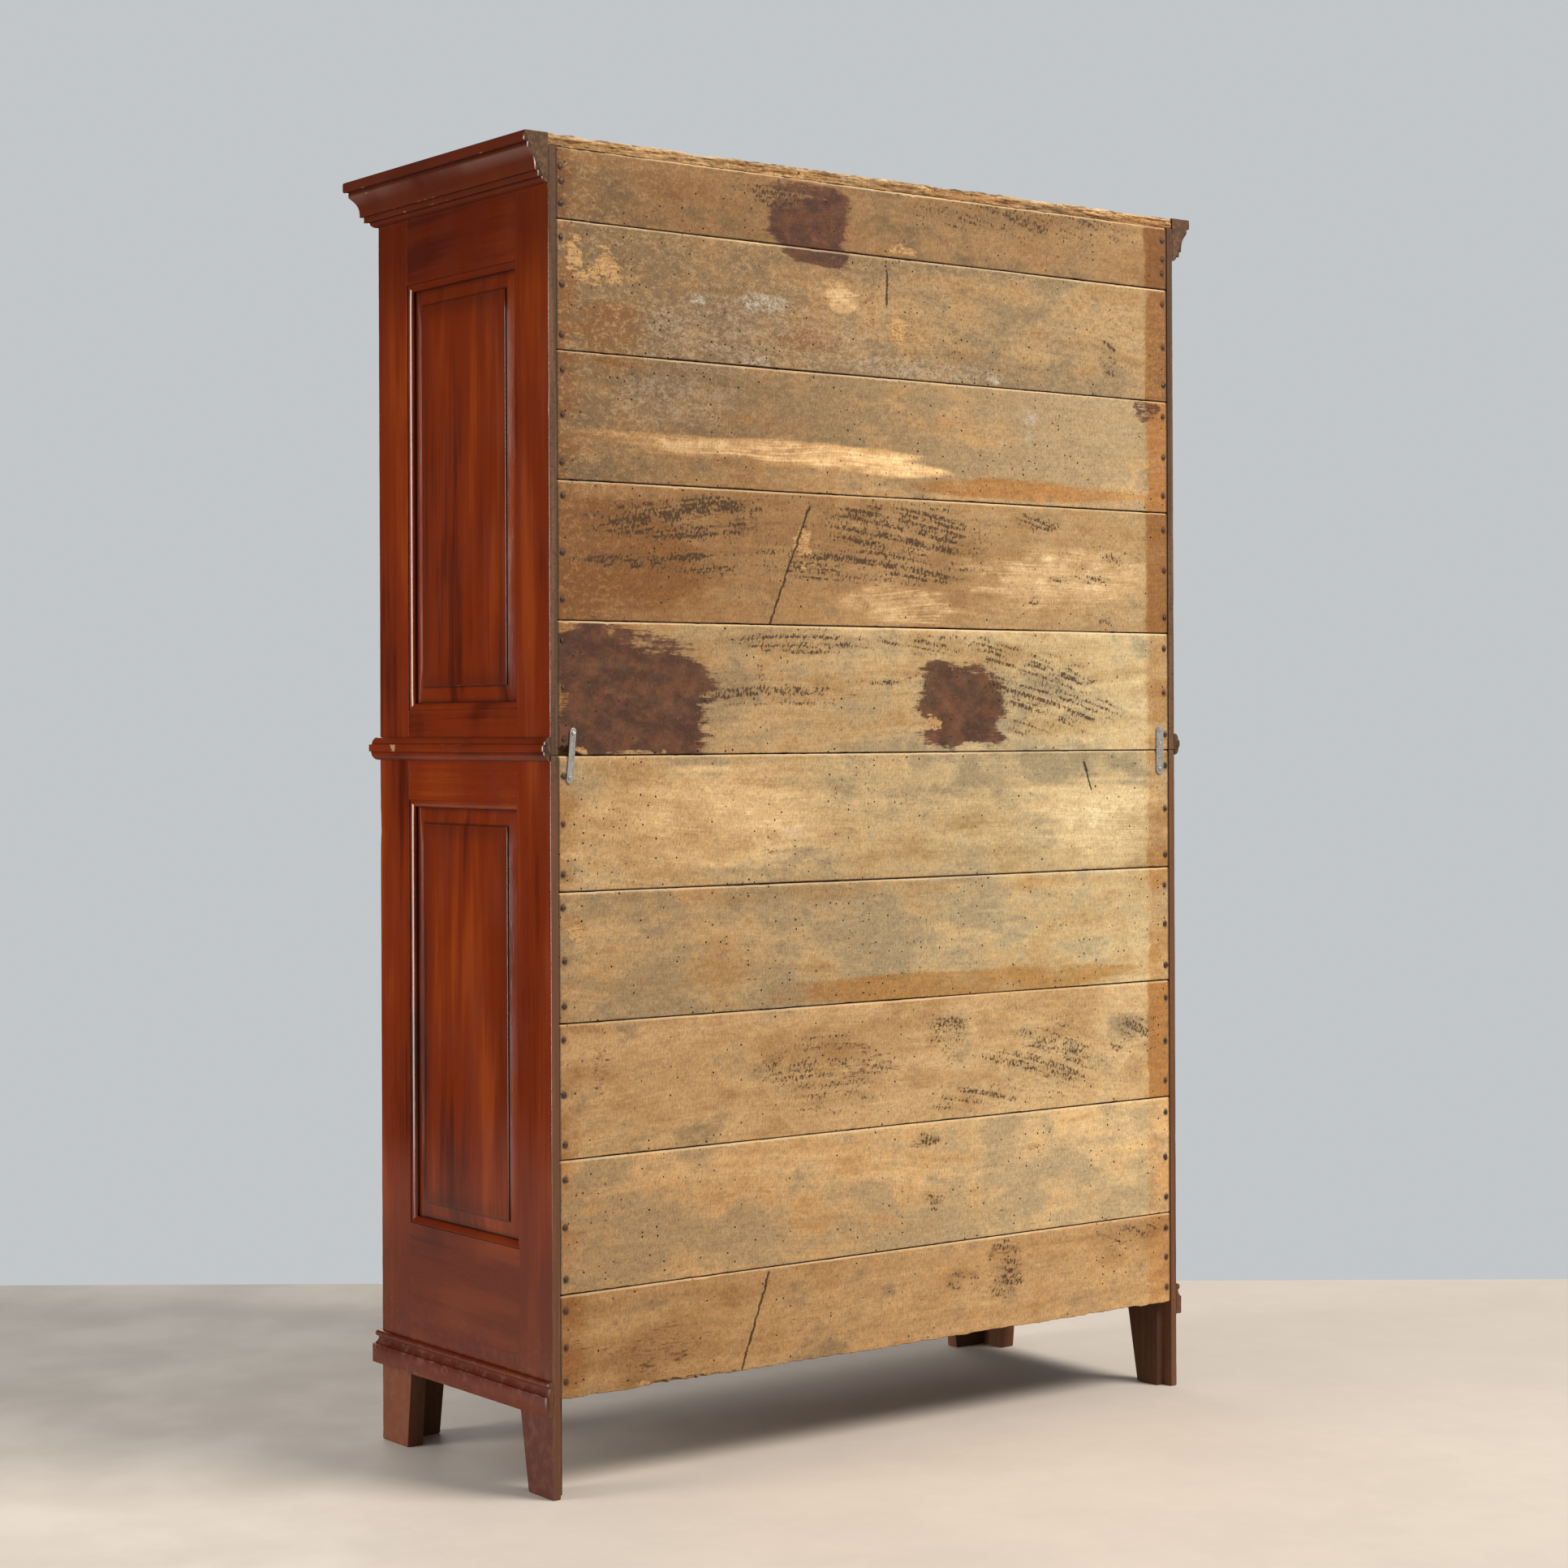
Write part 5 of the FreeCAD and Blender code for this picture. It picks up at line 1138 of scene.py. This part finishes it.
def cornice_profile():
    """Section of the cornice: fascia, band, cove, fillet and ovolo, from the top down."""
    top = ROOF_TOP
    t = np.linspace(0.0, 1.0, 9)
    bow = np.sin(math.pi * t)
    cove = np.stack([0.042 - 0.016 * t - 0.005 * bow, top - 0.030 - 0.039 * t + 0.002 * bow], axis=-1)
    turn = np.linspace(0.0, math.pi / 2, 6)
    ovolo = np.stack([0.012 * np.cos(turn), top - 0.080 - 0.010 * np.sin(turn)], axis=-1)
    fascia = [(0.0, top - 0.0006), (0.0482, top - 0.0006), (0.0494, top - 0.0016), (0.050, top - 0.0035),
              (0.050, top - 0.0165), (0.0492, top - 0.0192), (0.048, top - 0.020), (0.042, top - 0.0203)]
    fillet = [(0.0203, top - 0.0692), (0.020, top - 0.0698), (0.020, top - 0.0795), (0.0195, top - 0.080)]
    return np.concatenate([fascia, cove, fillet, ovolo])


def waist_profile():
    """Section of the waist moulding: quarter round, band and ovolo, with a lap behind it, from the bottom up."""
    z = LOWER_TOP - 0.010
    turn = np.linspace(0.0, math.pi / 2, 6)
    low = np.stack([0.003 + 0.010 * np.sin(turn), z + 0.016 - 0.016 * np.cos(turn)], axis=-1)
    high = np.stack([0.003 + 0.009 * np.cos(turn), z + 0.030 + 0.014 * np.sin(turn)], axis=-1)
    lap = [(0.0, LOWER_TOP), (0.002, LOWER_TOP), (0.002, z)]
    band = [(0.0155, z + 0.0162), (0.016, z + 0.0172), (0.016, z + 0.029), (0.0152, z + 0.030)]
    return np.concatenate([lap, low, band, high, [(0.0, z + 0.044)]])


def plinth_profile():
    """Section of the plinth moulding: fascia, hollow and bead, from the bottom up."""
    z = FOOT_HEIGHT
    t = np.linspace(0.0, 1.0, 6)
    hollow = np.stack([0.011 - 0.006 * t - 0.0015 * np.sin(math.pi * t), z + 0.036 + 0.014 * t], axis=-1)
    turn = np.linspace(0.0, math.pi, 8)[1:]
    bead = np.stack([0.005 + 0.005 * np.sin(turn), z + 0.056 - 0.006 * np.cos(turn)], axis=-1)
    fascia = [(0.0, z), (0.013, z), (0.014, z + 0.0012), (0.014, z + 0.0345), (0.0132, z + 0.036)]
    return np.concatenate([fascia, hollow, bead, [(0.0, z + 0.062)]])


FRONT_RINGS, SIDE_RINGS = 120, 80


def case_moulding(profile, place, seed, chips):
    """Profile carried along one side of the case, mitred at the front corners and knocked about on its edges."""
    out, up = profile[None, :, 0], profile[None, :, 1]
    if place == "front":
        t = np.linspace(0.0, 1.0, FRONT_RINGS)[:, None]
        along = -(X_OUT + out) + t * (2 * X_OUT + 2 * out)
    else:
        t = np.linspace(0.0, 1.0, SIDE_RINGS)[:, None]
        t = np.concatenate([t[:-1], [[0.9994], [1.0]]])
        along = Y_FRONT - out + t * (Y_BACK - Y_FRONT + out)
    middle = 0.5 * (profile[:, 1].min() + profile[:, 1].max())
    stand, hollow = turning(profile)
    knock = rough(along * 34.0, up * 26.0, seed)
    bite = chips * ramp(0.55, 1.05, knock + 0.3 * noise(along * 4.0, 1.0, seed))
    bite = bite * ramp(0.72, 0.97, out / profile[:, 0].max())
    out = np.clip(out - bite, 0.0, None) * np.ones_like(along)
    points = np.zeros(along.shape + (3,))
    raw = np.zeros(along.shape)
    points[..., 2] = up + 0.35 * bite * np.sign(middle - up)
    if place == "front":
        points[..., 0] = along
        points[..., 1] = Y_FRONT - out
    else:
        points[..., 0] = SIDES[place] * (X_OUT + out)
        points[..., 1] = along
        points[-1, :, 0] -= SIDES[place] * 0.0004 * (out[-1] > 0.001)
        raw[-1] = 1.0
    wear = np.clip(stand * (0.25 + 0.5 * knock) + 200.0 * bite, 0.0, 1.0)
    grain = np.stack([along, points[..., 2], out], axis=-1) + grain_shift(seed, 13)
    # The hollows of the profile get a mark for painted shade with some dirt
    return loft(points, grain=grain, wear=wear, raw=raw, grime=0.8 * hollow[None, :] + 0.0 * along)


# Ironwork

TO_BACK = np.array([[1, 0, 0], [0, 0, 1], [0, -1, 0]], float)
NAIL_HEAD = np.array([(0.0036, -0.0015), (0.0044, 0.0), (0.0043, 0.0007), (0.0032, 0.0014), (0.0014, 0.0018)])
SCREW_RADII = np.array([0.0036, 0.0040, 0.0037, 0.0030, 0.0020, 0.0010, 0.0004])[:, None]
SCREW_HEIGHTS = np.array([-0.001, 0.0002, 0.0008, 0.0011, 0.0013, 0.0014, 0.0014])[:, None]
SLOT_DEPTH = 0.0008
PLATE_HALF = 0.05
PLATE_THICK = 0.0024
LEAF_EASE = 0.0004
HINGE_HALF = 0.05
BALL_TIP = 0.005


def turned(profile, around, lumpy=0.0, seed=0):
    """Profile of radius and height turned about the upright through the origin."""
    about = np.linspace(0.0, 2 * math.pi, around, endpoint=False)[None, :]
    radius, height = profile[:, :1], profile[:, 1:2]
    radius = radius * (1.0 + lumpy * noise(about * 1.3, height * 300.0, seed))
    return np.stack([radius * np.cos(about), radius * np.sin(about), height + 0.0 * about], axis=-1)


def nail_heads():
    """Irregular forged heads on the boards' ends: a domed profile turned, with its radius uneven all round."""
    parts = []
    for number in range(1, len(BOARDS) + 1):
        for spot, (x, z) in enumerate(zip(*nail_places(number))):
            large = 0.8 + 0.6 * float(lattice(spot, number, 23))
            head = loft(turned(NAIL_HEAD * (large, 1.0), 10, 0.35, 7 * number + spot))
            parts.append(moved(head, TO_BACK, (x, BOARD_FACE - 0.0003, z)))
    return parts


def mending_strip(x, width, tilt, crease):
    """Steel strip with round ends: a flat section carried up its length, narrowing as a half circle at each end."""
    t = np.sin(np.linspace(-math.pi / 2, math.pi / 2, 41)) * PLATE_HALF
    to_end = np.clip((PLATE_HALF - np.abs(t)) / (width / 2), 0.0, 1.0)
    wide = width / 2 * np.maximum(np.sqrt(1 - (1 - to_end) ** 2), 0.12)
    corners = sections(t, (-wide, wide, wide, -wide), (0.0, 0.0, PLATE_THICK, PLATE_THICK))
    section = rounded(corners, np.full((len(t), 4), 0.0006))
    lean = math.tan(tilt) * t + crease * np.abs(t)
    up = np.broadcast_to(t[:, None], section.shape[:2])
    points = np.stack([section[..., 0] + lean[:, None], section[..., 1], up], axis=-1)
    return moved(loft(points), np.eye(3), (x, BOARD_FACE, LOWER_TOP))


def screw_head(x, z, turn):
    """Slotted screw head: a low dome over radius and angle, cut down inside a straight slot."""
    about = np.linspace(0.0, 2 * math.pi, 32, endpoint=False)[None, :]
    slot = ramp(0.0009, 0.0004, np.abs(SCREW_RADII * np.sin(about - turn))) * (SCREW_HEIGHTS > 0.0005)
    points = np.stack([SCREW_RADII * np.cos(about), SCREW_RADII * np.sin(about), SCREW_HEIGHTS - SLOT_DEPTH * slot],
                      axis=-1)
    return moved(loft(points), TO_BACK, (x, BOARD_FACE + PLATE_THICK, z))


def hinge_barrel(low, high, tip_up):
    """Half of a hinge barrel: a cylinder turned with a ball tip at its free end."""
    tall = high - low
    profile = np.array([
        (0.0058, 0.0), (0.0060, 0.0006), (0.0060, tall - 0.0006), (0.0056, tall), (0.0042, tall + 0.0006),
        (0.0050, tall + 0.0018), (0.0046, tall + 0.0034), (0.0030, tall + 0.0046), (0.0008, tall + BALL_TIP)])
    points = turned(profile, 24)
    if not tip_up:
        points[..., 2] = tall - points[..., 2]
    return moved(loft(points), np.eye(3), (HINGE_X, HINGE_Y, low))


def flat_leaf(x0, x1, y0, y1, z0, z1):
    """Thin hinge leaf with eased edges."""
    places = np.array([z0, z0 + LEAF_EASE, z1 - LEAF_EASE, z1])
    corners = np.broadcast_to(rectangle(x0, x1, y0, y1), (4, 4, 2)).copy()
    corners[[0, -1]] = inset(corners[[0, -1]], LEAF_EASE)
    section = rounded(corners, np.full((4, 4), 0.0003))
    return loft(np.concatenate([section, np.broadcast_to(places[:, None, None], section.shape[:2] + (1,))], axis=-1))


def hinge_centres(body):
    """Heights of a door's two hinges."""
    low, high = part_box("hinge_leaves_%s_right" % body)
    return low.z + HINGE_HALF, high.z - HINGE_HALF - BALL_TIP


# Operators

class WardrobePiece:
    """Shared settings of the operators."""

    bl_options = {"REGISTER", "UNDO"}


SENSOR_WIDTH = 36.0
LAMP_AIM = Vector((0.0, 0.0, 1.3))
FLOOR_SHADE = 0.92


class WARDROBE_OT_stage(WardrobePiece, bpy.types.Operator):
    """Lays the floor, lights it softly and sets the camera"""

    bl_idname = "wardrobe.stage"
    bl_label = "Stage"

    def execute(self, context):
        s = context.scene.wardrobe_stage
        self.lay_floor(context.scene, s)
        self.light(context.scene, s)
        camera = bpy.data.cameras.new("camera")
        camera.sensor_width = SENSOR_WIDTH
        camera.lens = s.lens
        camera.shift_y = s.shift
        camera_object = bpy.data.objects.new("camera", camera)
        turn = Matrix.Rotation(s.camera_turn, 4, "Z") @ Matrix.Rotation(math.pi / 2, 4, "X")
        turn = turn @ Matrix.Rotation(s.camera_roll, 4, "Z")
        camera_object.matrix_world = Matrix.Translation(s.camera_place) @ turn
        context.scene.collection.objects.link(camera_object)
        context.scene.camera = camera_object
        context.scene.view_settings.view_transform = "Standard"
        return {"FINISHED"}

    def lay_floor(self, scene, s):
        """Plain rectangle square to the line of sight."""
        sight = np.array([-math.sin(s.camera_turn), math.cos(s.camera_turn), 0.0])
        aside = np.array([-sight[1], sight[0], 0.0])
        reach = np.array([(-s.floor_near, -1), (s.floor_far, -1), (s.floor_far, 1), (-s.floor_near, 1)], float)
        rim = reach[:, :1] * sight + reach[:, 1:] * s.floor_span / 2 * aside
        mesh = bpy.data.meshes.new("floor")
        mesh.from_pydata(rim.tolist(), [], [[0, 1, 2, 3]])
        floor = bpy.data.objects.new("floor", mesh)
        scene.collection.objects.link(floor)
        n = Nodes("pale_floor")
        dust = n.noise(n.place, 3.0, 5.0, 0.6)
        tone = n.mix(dust.step(0.35, 0.65), s.floor, [v * FLOOR_SHADE for v in s.floor])
        mesh.materials.append(n.done(tone, dust.step(0.3, 0.7, 0.55, 0.7)))

    def light(self, scene, s):
        """Pale surroundings, dimmer for gloss and for shadows, and three soft lights."""
        world = bpy.data.worlds.new("soft_surroundings")
        world.use_nodes = True
        tree = world.node_tree
        background = tree.nodes["Background"]
        background.inputs["Color"].default_value = tuple(s.sky) + (1.0,)
        path = tree.nodes.new("ShaderNodeLightPath")
        strength = None
        for ray, dim in (("Is Glossy Ray", s.sky_dim), ("Is Diffuse Ray", s.shade)):
            less = tree.nodes.new("ShaderNodeMath")
            less.operation = "MULTIPLY_ADD"
            less.inputs[1].default_value = -dim * s.sky_strength
            less.inputs[2].default_value = s.sky_strength
            tree.links.new(path.outputs[ray], less.inputs[0])
            if strength is not None:
                tree.links.new(strength, less.inputs[2])
            strength = less.outputs[0]
        tree.links.new(strength, background.inputs["Strength"])
        scene.world = world
        for name, place, watts, wide, tall, spread in (
                ("key_light", (-3.3, 5.6, 7.9), s.key_power, 4.2, 4.2, 180.0),
                ("side_light", (4.8, -1.2, 1.45), s.fill_power, 2.0, 3.0, 66.0),
                ("front_light", (-1.6, -6.0, 2.8), s.front_power, 3.0, 2.4, 180.0)):
            lamp = bpy.data.lights.new(name, "AREA")
            lamp.energy, lamp.color = watts, s.lamp
            lamp.shape, lamp.size, lamp.size_y = "RECTANGLE", wide, tall
            lamp.spread = math.radians(spread)
            lamp_object = bpy.data.objects.new(name, lamp)
            lamp_object.location = place
            lamp_object.rotation_euler = (LAMP_AIM - Vector(place)).to_track_quat("-Z", "Y").to_euler()
            scene.collection.objects.link(lamp_object)


class WARDROBE_OT_back_boards(WardrobePiece, bpy.types.Operator):
    """Builds the ten rough boards of the back"""

    bl_idname = "wardrobe.back_boards"
    bl_label = "Back boards"

    def execute(self, context):
        for number, node in enumerate(BOARD_NODES, 1):
            make_piece("rough_" + node, [back_board(number)], "carcass", "raw_board", node)
        make_piece("splintered_roof_board", [roof_edge()], "carcass", "raw_board", "roof_board")
        return {"FINISHED"}


class WARDROBE_OT_sides(WardrobePiece, bpy.types.Operator):
    """Builds the framed sides with their fielded panels"""

    bl_idname = "wardrobe.sides"
    bl_label = "Sides"

    def execute(self, context):
        s = context.scene.wardrobe_sizes
        plans = {"lower": (FOOT_HEIGHT, LOWER_TOP, (s.lower_bottom_rail, s.lower_top_rail),
                           (s.front_foot_taper, s.rear_foot_taper)),
                 "upper": (LOWER_TOP, UPPER_TOP, (s.upper_bottom_rail, s.upper_top_rail), None)}
        for body, (low, high, rails, tapers) in plans.items():
            for side in SIDES:
                seed = 100 + 40 * (body == "upper") + 17 * (side == "left")
                parts, sight = panelled_frame((Y_FRONT, Y_BACK), low, high, X_OUT - X_IN, s.side_stile, rails, seed,
                                              tapers, Y_BACK - BOARD_INNER)
                label = "%s_%s" % (body, side)
                make_piece("polished_side_frame_" + label, facing(parts, side), "carcass", "polished_wood",
                           "side_frame_" + label)
                make_piece("fielded_side_panel_" + label, facing([fielded_panel(sight, seed + 13)], side), "carcass",
                           "polished_wood", "side_panel_" + label)
        return {"FINISHED"}


class WARDROBE_OT_fronts(WardrobePiece, bpy.types.Operator):
    """Builds the front frames between the sides"""

    bl_idname = "wardrobe.fronts"
    bl_label = "Front frames"

    def execute(self, context):
        s = context.scene.wardrobe_sizes
        inner = X_IN - s.front_stile
        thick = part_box("front_frame_lower")[1].y - Y_FRONT
        plans = {"lower": (0.0, FOOT_HEIGHT, LOWER_TOP, s.front_lower_bottom, s.front_lower_top, s.face_foot_taper),
                 "upper": (LOWER_TOP, LOWER_TOP, UPPER_TOP, s.front_upper_bottom, s.front_upper_top, 0.0)}
        for body, (foot, low, high, bottom, top, taper) in plans.items():
            seed = 200 + 20 * (body == "upper")

            def outline(places):
                edge = inner + taper * foot_share(places)
                return sections(places, (edge, X_IN, X_IN, edge), (0.0, 0.0, thick, thick))

            def rail(under, over, number, worn):
                return member(0, -inner, inner, rectangle(0.0, thick, under, over), seed + number, worn, unpolished,
                              0.3, True)

            stile = member(2, foot, high, outline, seed, (0.6, 0.1, 0.0, 0.0), unpolished)
            rails = [rail(low, low + bottom, 1, (0.1, 0, 0, 0.5)), rail(high - top, high, 2, (0.5, 0, 0, 0.1))]
            parts = facing([stile] + rails, "front") + facing([stile], "front_left")
            make_piece("polished_front_frame_" + body, parts, "carcass", "polished_wood", "front_frame_" + body)
        return {"FINISHED"}


class WARDROBE_OT_doors(WardrobePiece, bpy.types.Operator):
    """Builds the four framed doors with their fielded panels"""

    bl_idname = "wardrobe.doors"
    bl_label = "Doors"

    def execute(self, context):
        member_width = context.scene.wardrobe_sizes.door_member
        for body in BODIES:
            low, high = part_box("door_frame_%s_right" % body)
            for side, way in (("right", "front"), ("left", "front_left")):
                seed = 260 + 40 * (body == "upper") + 19 * (side == "left")
                parts, sight = panelled_frame((low.x, high.x), low.z, high.z, high.y - low.y, member_width,
                                              (member_width, member_width), seed)
                label = "%s_%s" % (body, side)
                make_piece("polished_door_frame_" + label, facing(parts, way), "door_" + label, "polished_wood",
                           "door_frame_" + label)
                make_piece("fielded_door_panel_" + label, facing([fielded_panel(sight, seed + 13)], way),
                           "door_" + label, "polished_wood", "door_panel_" + label)
        return {"FINISHED"}


class WARDROBE_OT_mouldings(WardrobePiece, bpy.types.Operator):
    """Runs the cornice, the waist moulding and the plinth moulding"""

    bl_idname = "wardrobe.mouldings"
    bl_label = "Mouldings"

    def execute(self, context):
        chip = context.scene.wardrobe_sizes.chip
        places = ("front", "left", "right")

        def runs(profile, seed, chips):
            return [case_moulding(profile, place, seed + number, chips * chip) for number, place in enumerate(places)]

        for place, part in zip(places, runs(cornice_profile(), 320, 0.9)):
            make_piece("run_cornice_" + place, [part], "carcass", "polished_wood", "cornice_" + place)
        for name, parts in (("waist", runs(waist_profile(), 330, 0.5)), ("plinth", runs(plinth_profile(), 340, 0.9))):
            make_piece("run_%s_moulding" % name, parts, "carcass", "polished_wood", name + "_moulding")
        return {"FINISHED"}


RIGHT_PLATE_IN, LEFT_PLATE_IN = 0.028, 0.026
RIGHT_PLATE_WIDTH, LEFT_PLATE_WIDTH = 0.013, 0.020
PLATE_LEAN = math.radians(5.2)
PLATE_CREASE = 0.015
SCREW_OUT, SCREW_IN = 0.040, 0.015
SLOT_TURN, SLOT_TURN_RATE = 0.7, 40.0


class WARDROBE_OT_fixings(WardrobePiece, bpy.types.Operator):
    """Adds the nail heads, the mending plates and their screws"""

    bl_idname = "wardrobe.fixings"
    bl_label = "Nails and mending plates"

    def execute(self, context):
        make_piece("forged_nail_heads", nail_heads(), "carcass", "old_iron", "back_nails")
        end = BOARDS[4][1].x
        right, left = end - RIGHT_PLATE_IN, LEFT_PLATE_IN - end
        plates = [mending_strip(right, RIGHT_PLATE_WIDTH, -PLATE_LEAN, PLATE_CREASE),
                  mending_strip(left, LEFT_PLATE_WIDTH, 0.0, 0.0)]
        make_piece("bent_mending_plates", plates, "carcass", "zinc_steel", "mending_plates")
        aside, rise = SCREW_OUT * math.sin(PLATE_LEAN), SCREW_OUT * math.cos(PLATE_LEAN)
        screws = [screw_head(right - side * aside, LOWER_TOP + side * rise, SLOT_TURN * side) for side in (-1, 1)]
        screws += [screw_head(left, LOWER_TOP + up, up * SLOT_TURN_RATE)
                   for up in (-SCREW_OUT, -SCREW_IN, SCREW_IN, SCREW_OUT)]
        make_piece("slotted_screws", screws, "carcass", "zinc_steel", "plate_screws")
        return {"FINISHED"}


LEAF_NEAR, LEAF_FAR = 0.001, 0.003
LEAF_FRONT, LEAF_BACK = Y_FRONT + 0.0004, Y_FRONT + 0.022
KNUCKLE_GAP = 0.0002
MIRROR = np.diag((-1, 1, 1))


class WARDROBE_OT_hinges(WardrobePiece, bpy.types.Operator):
    """Adds the barrel hinges of the doors"""

    bl_idname = "wardrobe.hinges"
    bl_label = "Hinges"

    def execute(self, context):
        fixed = []
        for body in BODIES:
            swinging = []
            for centre in hinge_centres(body):
                low, high = centre - HINGE_HALF, centre + HINGE_HALF
                for half, x0, x1, under, over, tip_up in (
                        (fixed, HINGE_X + LEAF_NEAR, HINGE_X + LEAF_FAR, low, centre - KNUCKLE_GAP, False),
                        (swinging, HINGE_X - LEAF_FAR, HINGE_X - LEAF_NEAR, centre + KNUCKLE_GAP, high, True)):
                    half.extend([hinge_barrel(under, over, tip_up),
                                 flat_leaf(x0, x1, LEAF_FRONT, LEAF_BACK, low, high),
                                 flat_leaf(x0, x1, HINGE_Y, LEAF_FRONT, under, over)])
            for side in SIDES:
                parts = swinging if side == "right" else [moved(part, MIRROR) for part in swinging]
                label = "%s_%s" % (body, side)
                make_piece("hinge_halves_" + label, parts, "door_" + label, "old_iron", "hinge_leaves_" + label)
        fixed += [moved(part, MIRROR) for part in fixed]
        make_piece("hinge_halves_case", fixed, "carcass", "old_iron", "hinge_leaves_carcass")
        dress_nodes(old_ironwork(), "hinge_pins")
        return {"FINISHED"}


class WARDROBE_OT_locks(WardrobePiece, bpy.types.Operator):
    """Finishes the locks, keys, escutcheons and slide bolts"""

    bl_idname = "wardrobe.locks"
    bl_label = "Locks and bolts"

    def execute(self, context):
        for body in BODIES:
            dress_nodes(old_ironwork(), "lock_case_" + body, "lock_bolt_" + body, "slide_bolt_" + body,
                        "slide_bolt_plate_" + body)
            dress_nodes(aged_brass(), "key_" + body, "escutcheon_" + body)
        return {"FINISHED"}


class WARDROBE_OT_inner_boards(WardrobePiece, bpy.types.Operator):
    """Finishes the floors, shelves and cleats"""

    bl_idname = "wardrobe.inner_boards"
    bl_label = "Inside boards"

    def execute(self, context):
        dress_nodes(planed_inner_boards(), "lower_floor", "lower_top", "upper_floor", "shelves", "shelf_cleats")
        return {"FINISHED"}


STEPS = ("stage", "back_boards", "sides", "fronts", "doors", "mouldings", "fixings", "hinges", "locks", "inner_boards")


class WARDROBE_PT_panel(bpy.types.Panel):
    """Lists the steps that build the wardrobe"""

    bl_idname = "WARDROBE_PT_panel"
    bl_label = "Wardrobe"
    bl_space_type = "VIEW_3D"
    bl_region_type = "UI"
    bl_category = "Wardrobe"

    def draw(self, context):
        for step in STEPS:
            self.layout.operator("wardrobe." + step)


GROUPS = {"wardrobe_sizes": WardrobeSizes, "wardrobe_finish": WardrobeFinish, "wardrobe_stage": WardrobeStage}
CLASSES = (*GROUPS.values(), WARDROBE_OT_stage, WARDROBE_OT_back_boards, WARDROBE_OT_sides, WARDROBE_OT_fronts,
           WARDROBE_OT_doors, WARDROBE_OT_mouldings, WARDROBE_OT_fixings, WARDROBE_OT_hinges, WARDROBE_OT_locks,
           WARDROBE_OT_inner_boards, WARDROBE_PT_panel)


def register():
    for cls in CLASSES:
        bpy.utils.register_class(cls)
    for name, group in GROUPS.items():
        setattr(bpy.types.Scene, name, PointerProperty(type=group))


def unregister():
    for name in GROUPS:
        delattr(bpy.types.Scene, name)
    for cls in reversed(CLASSES):
        bpy.utils.unregister_class(cls)


def main():
    register()
    for step in STEPS:
        getattr(bpy.ops.wardrobe, step)()


if __name__ == "__main__":
    main()
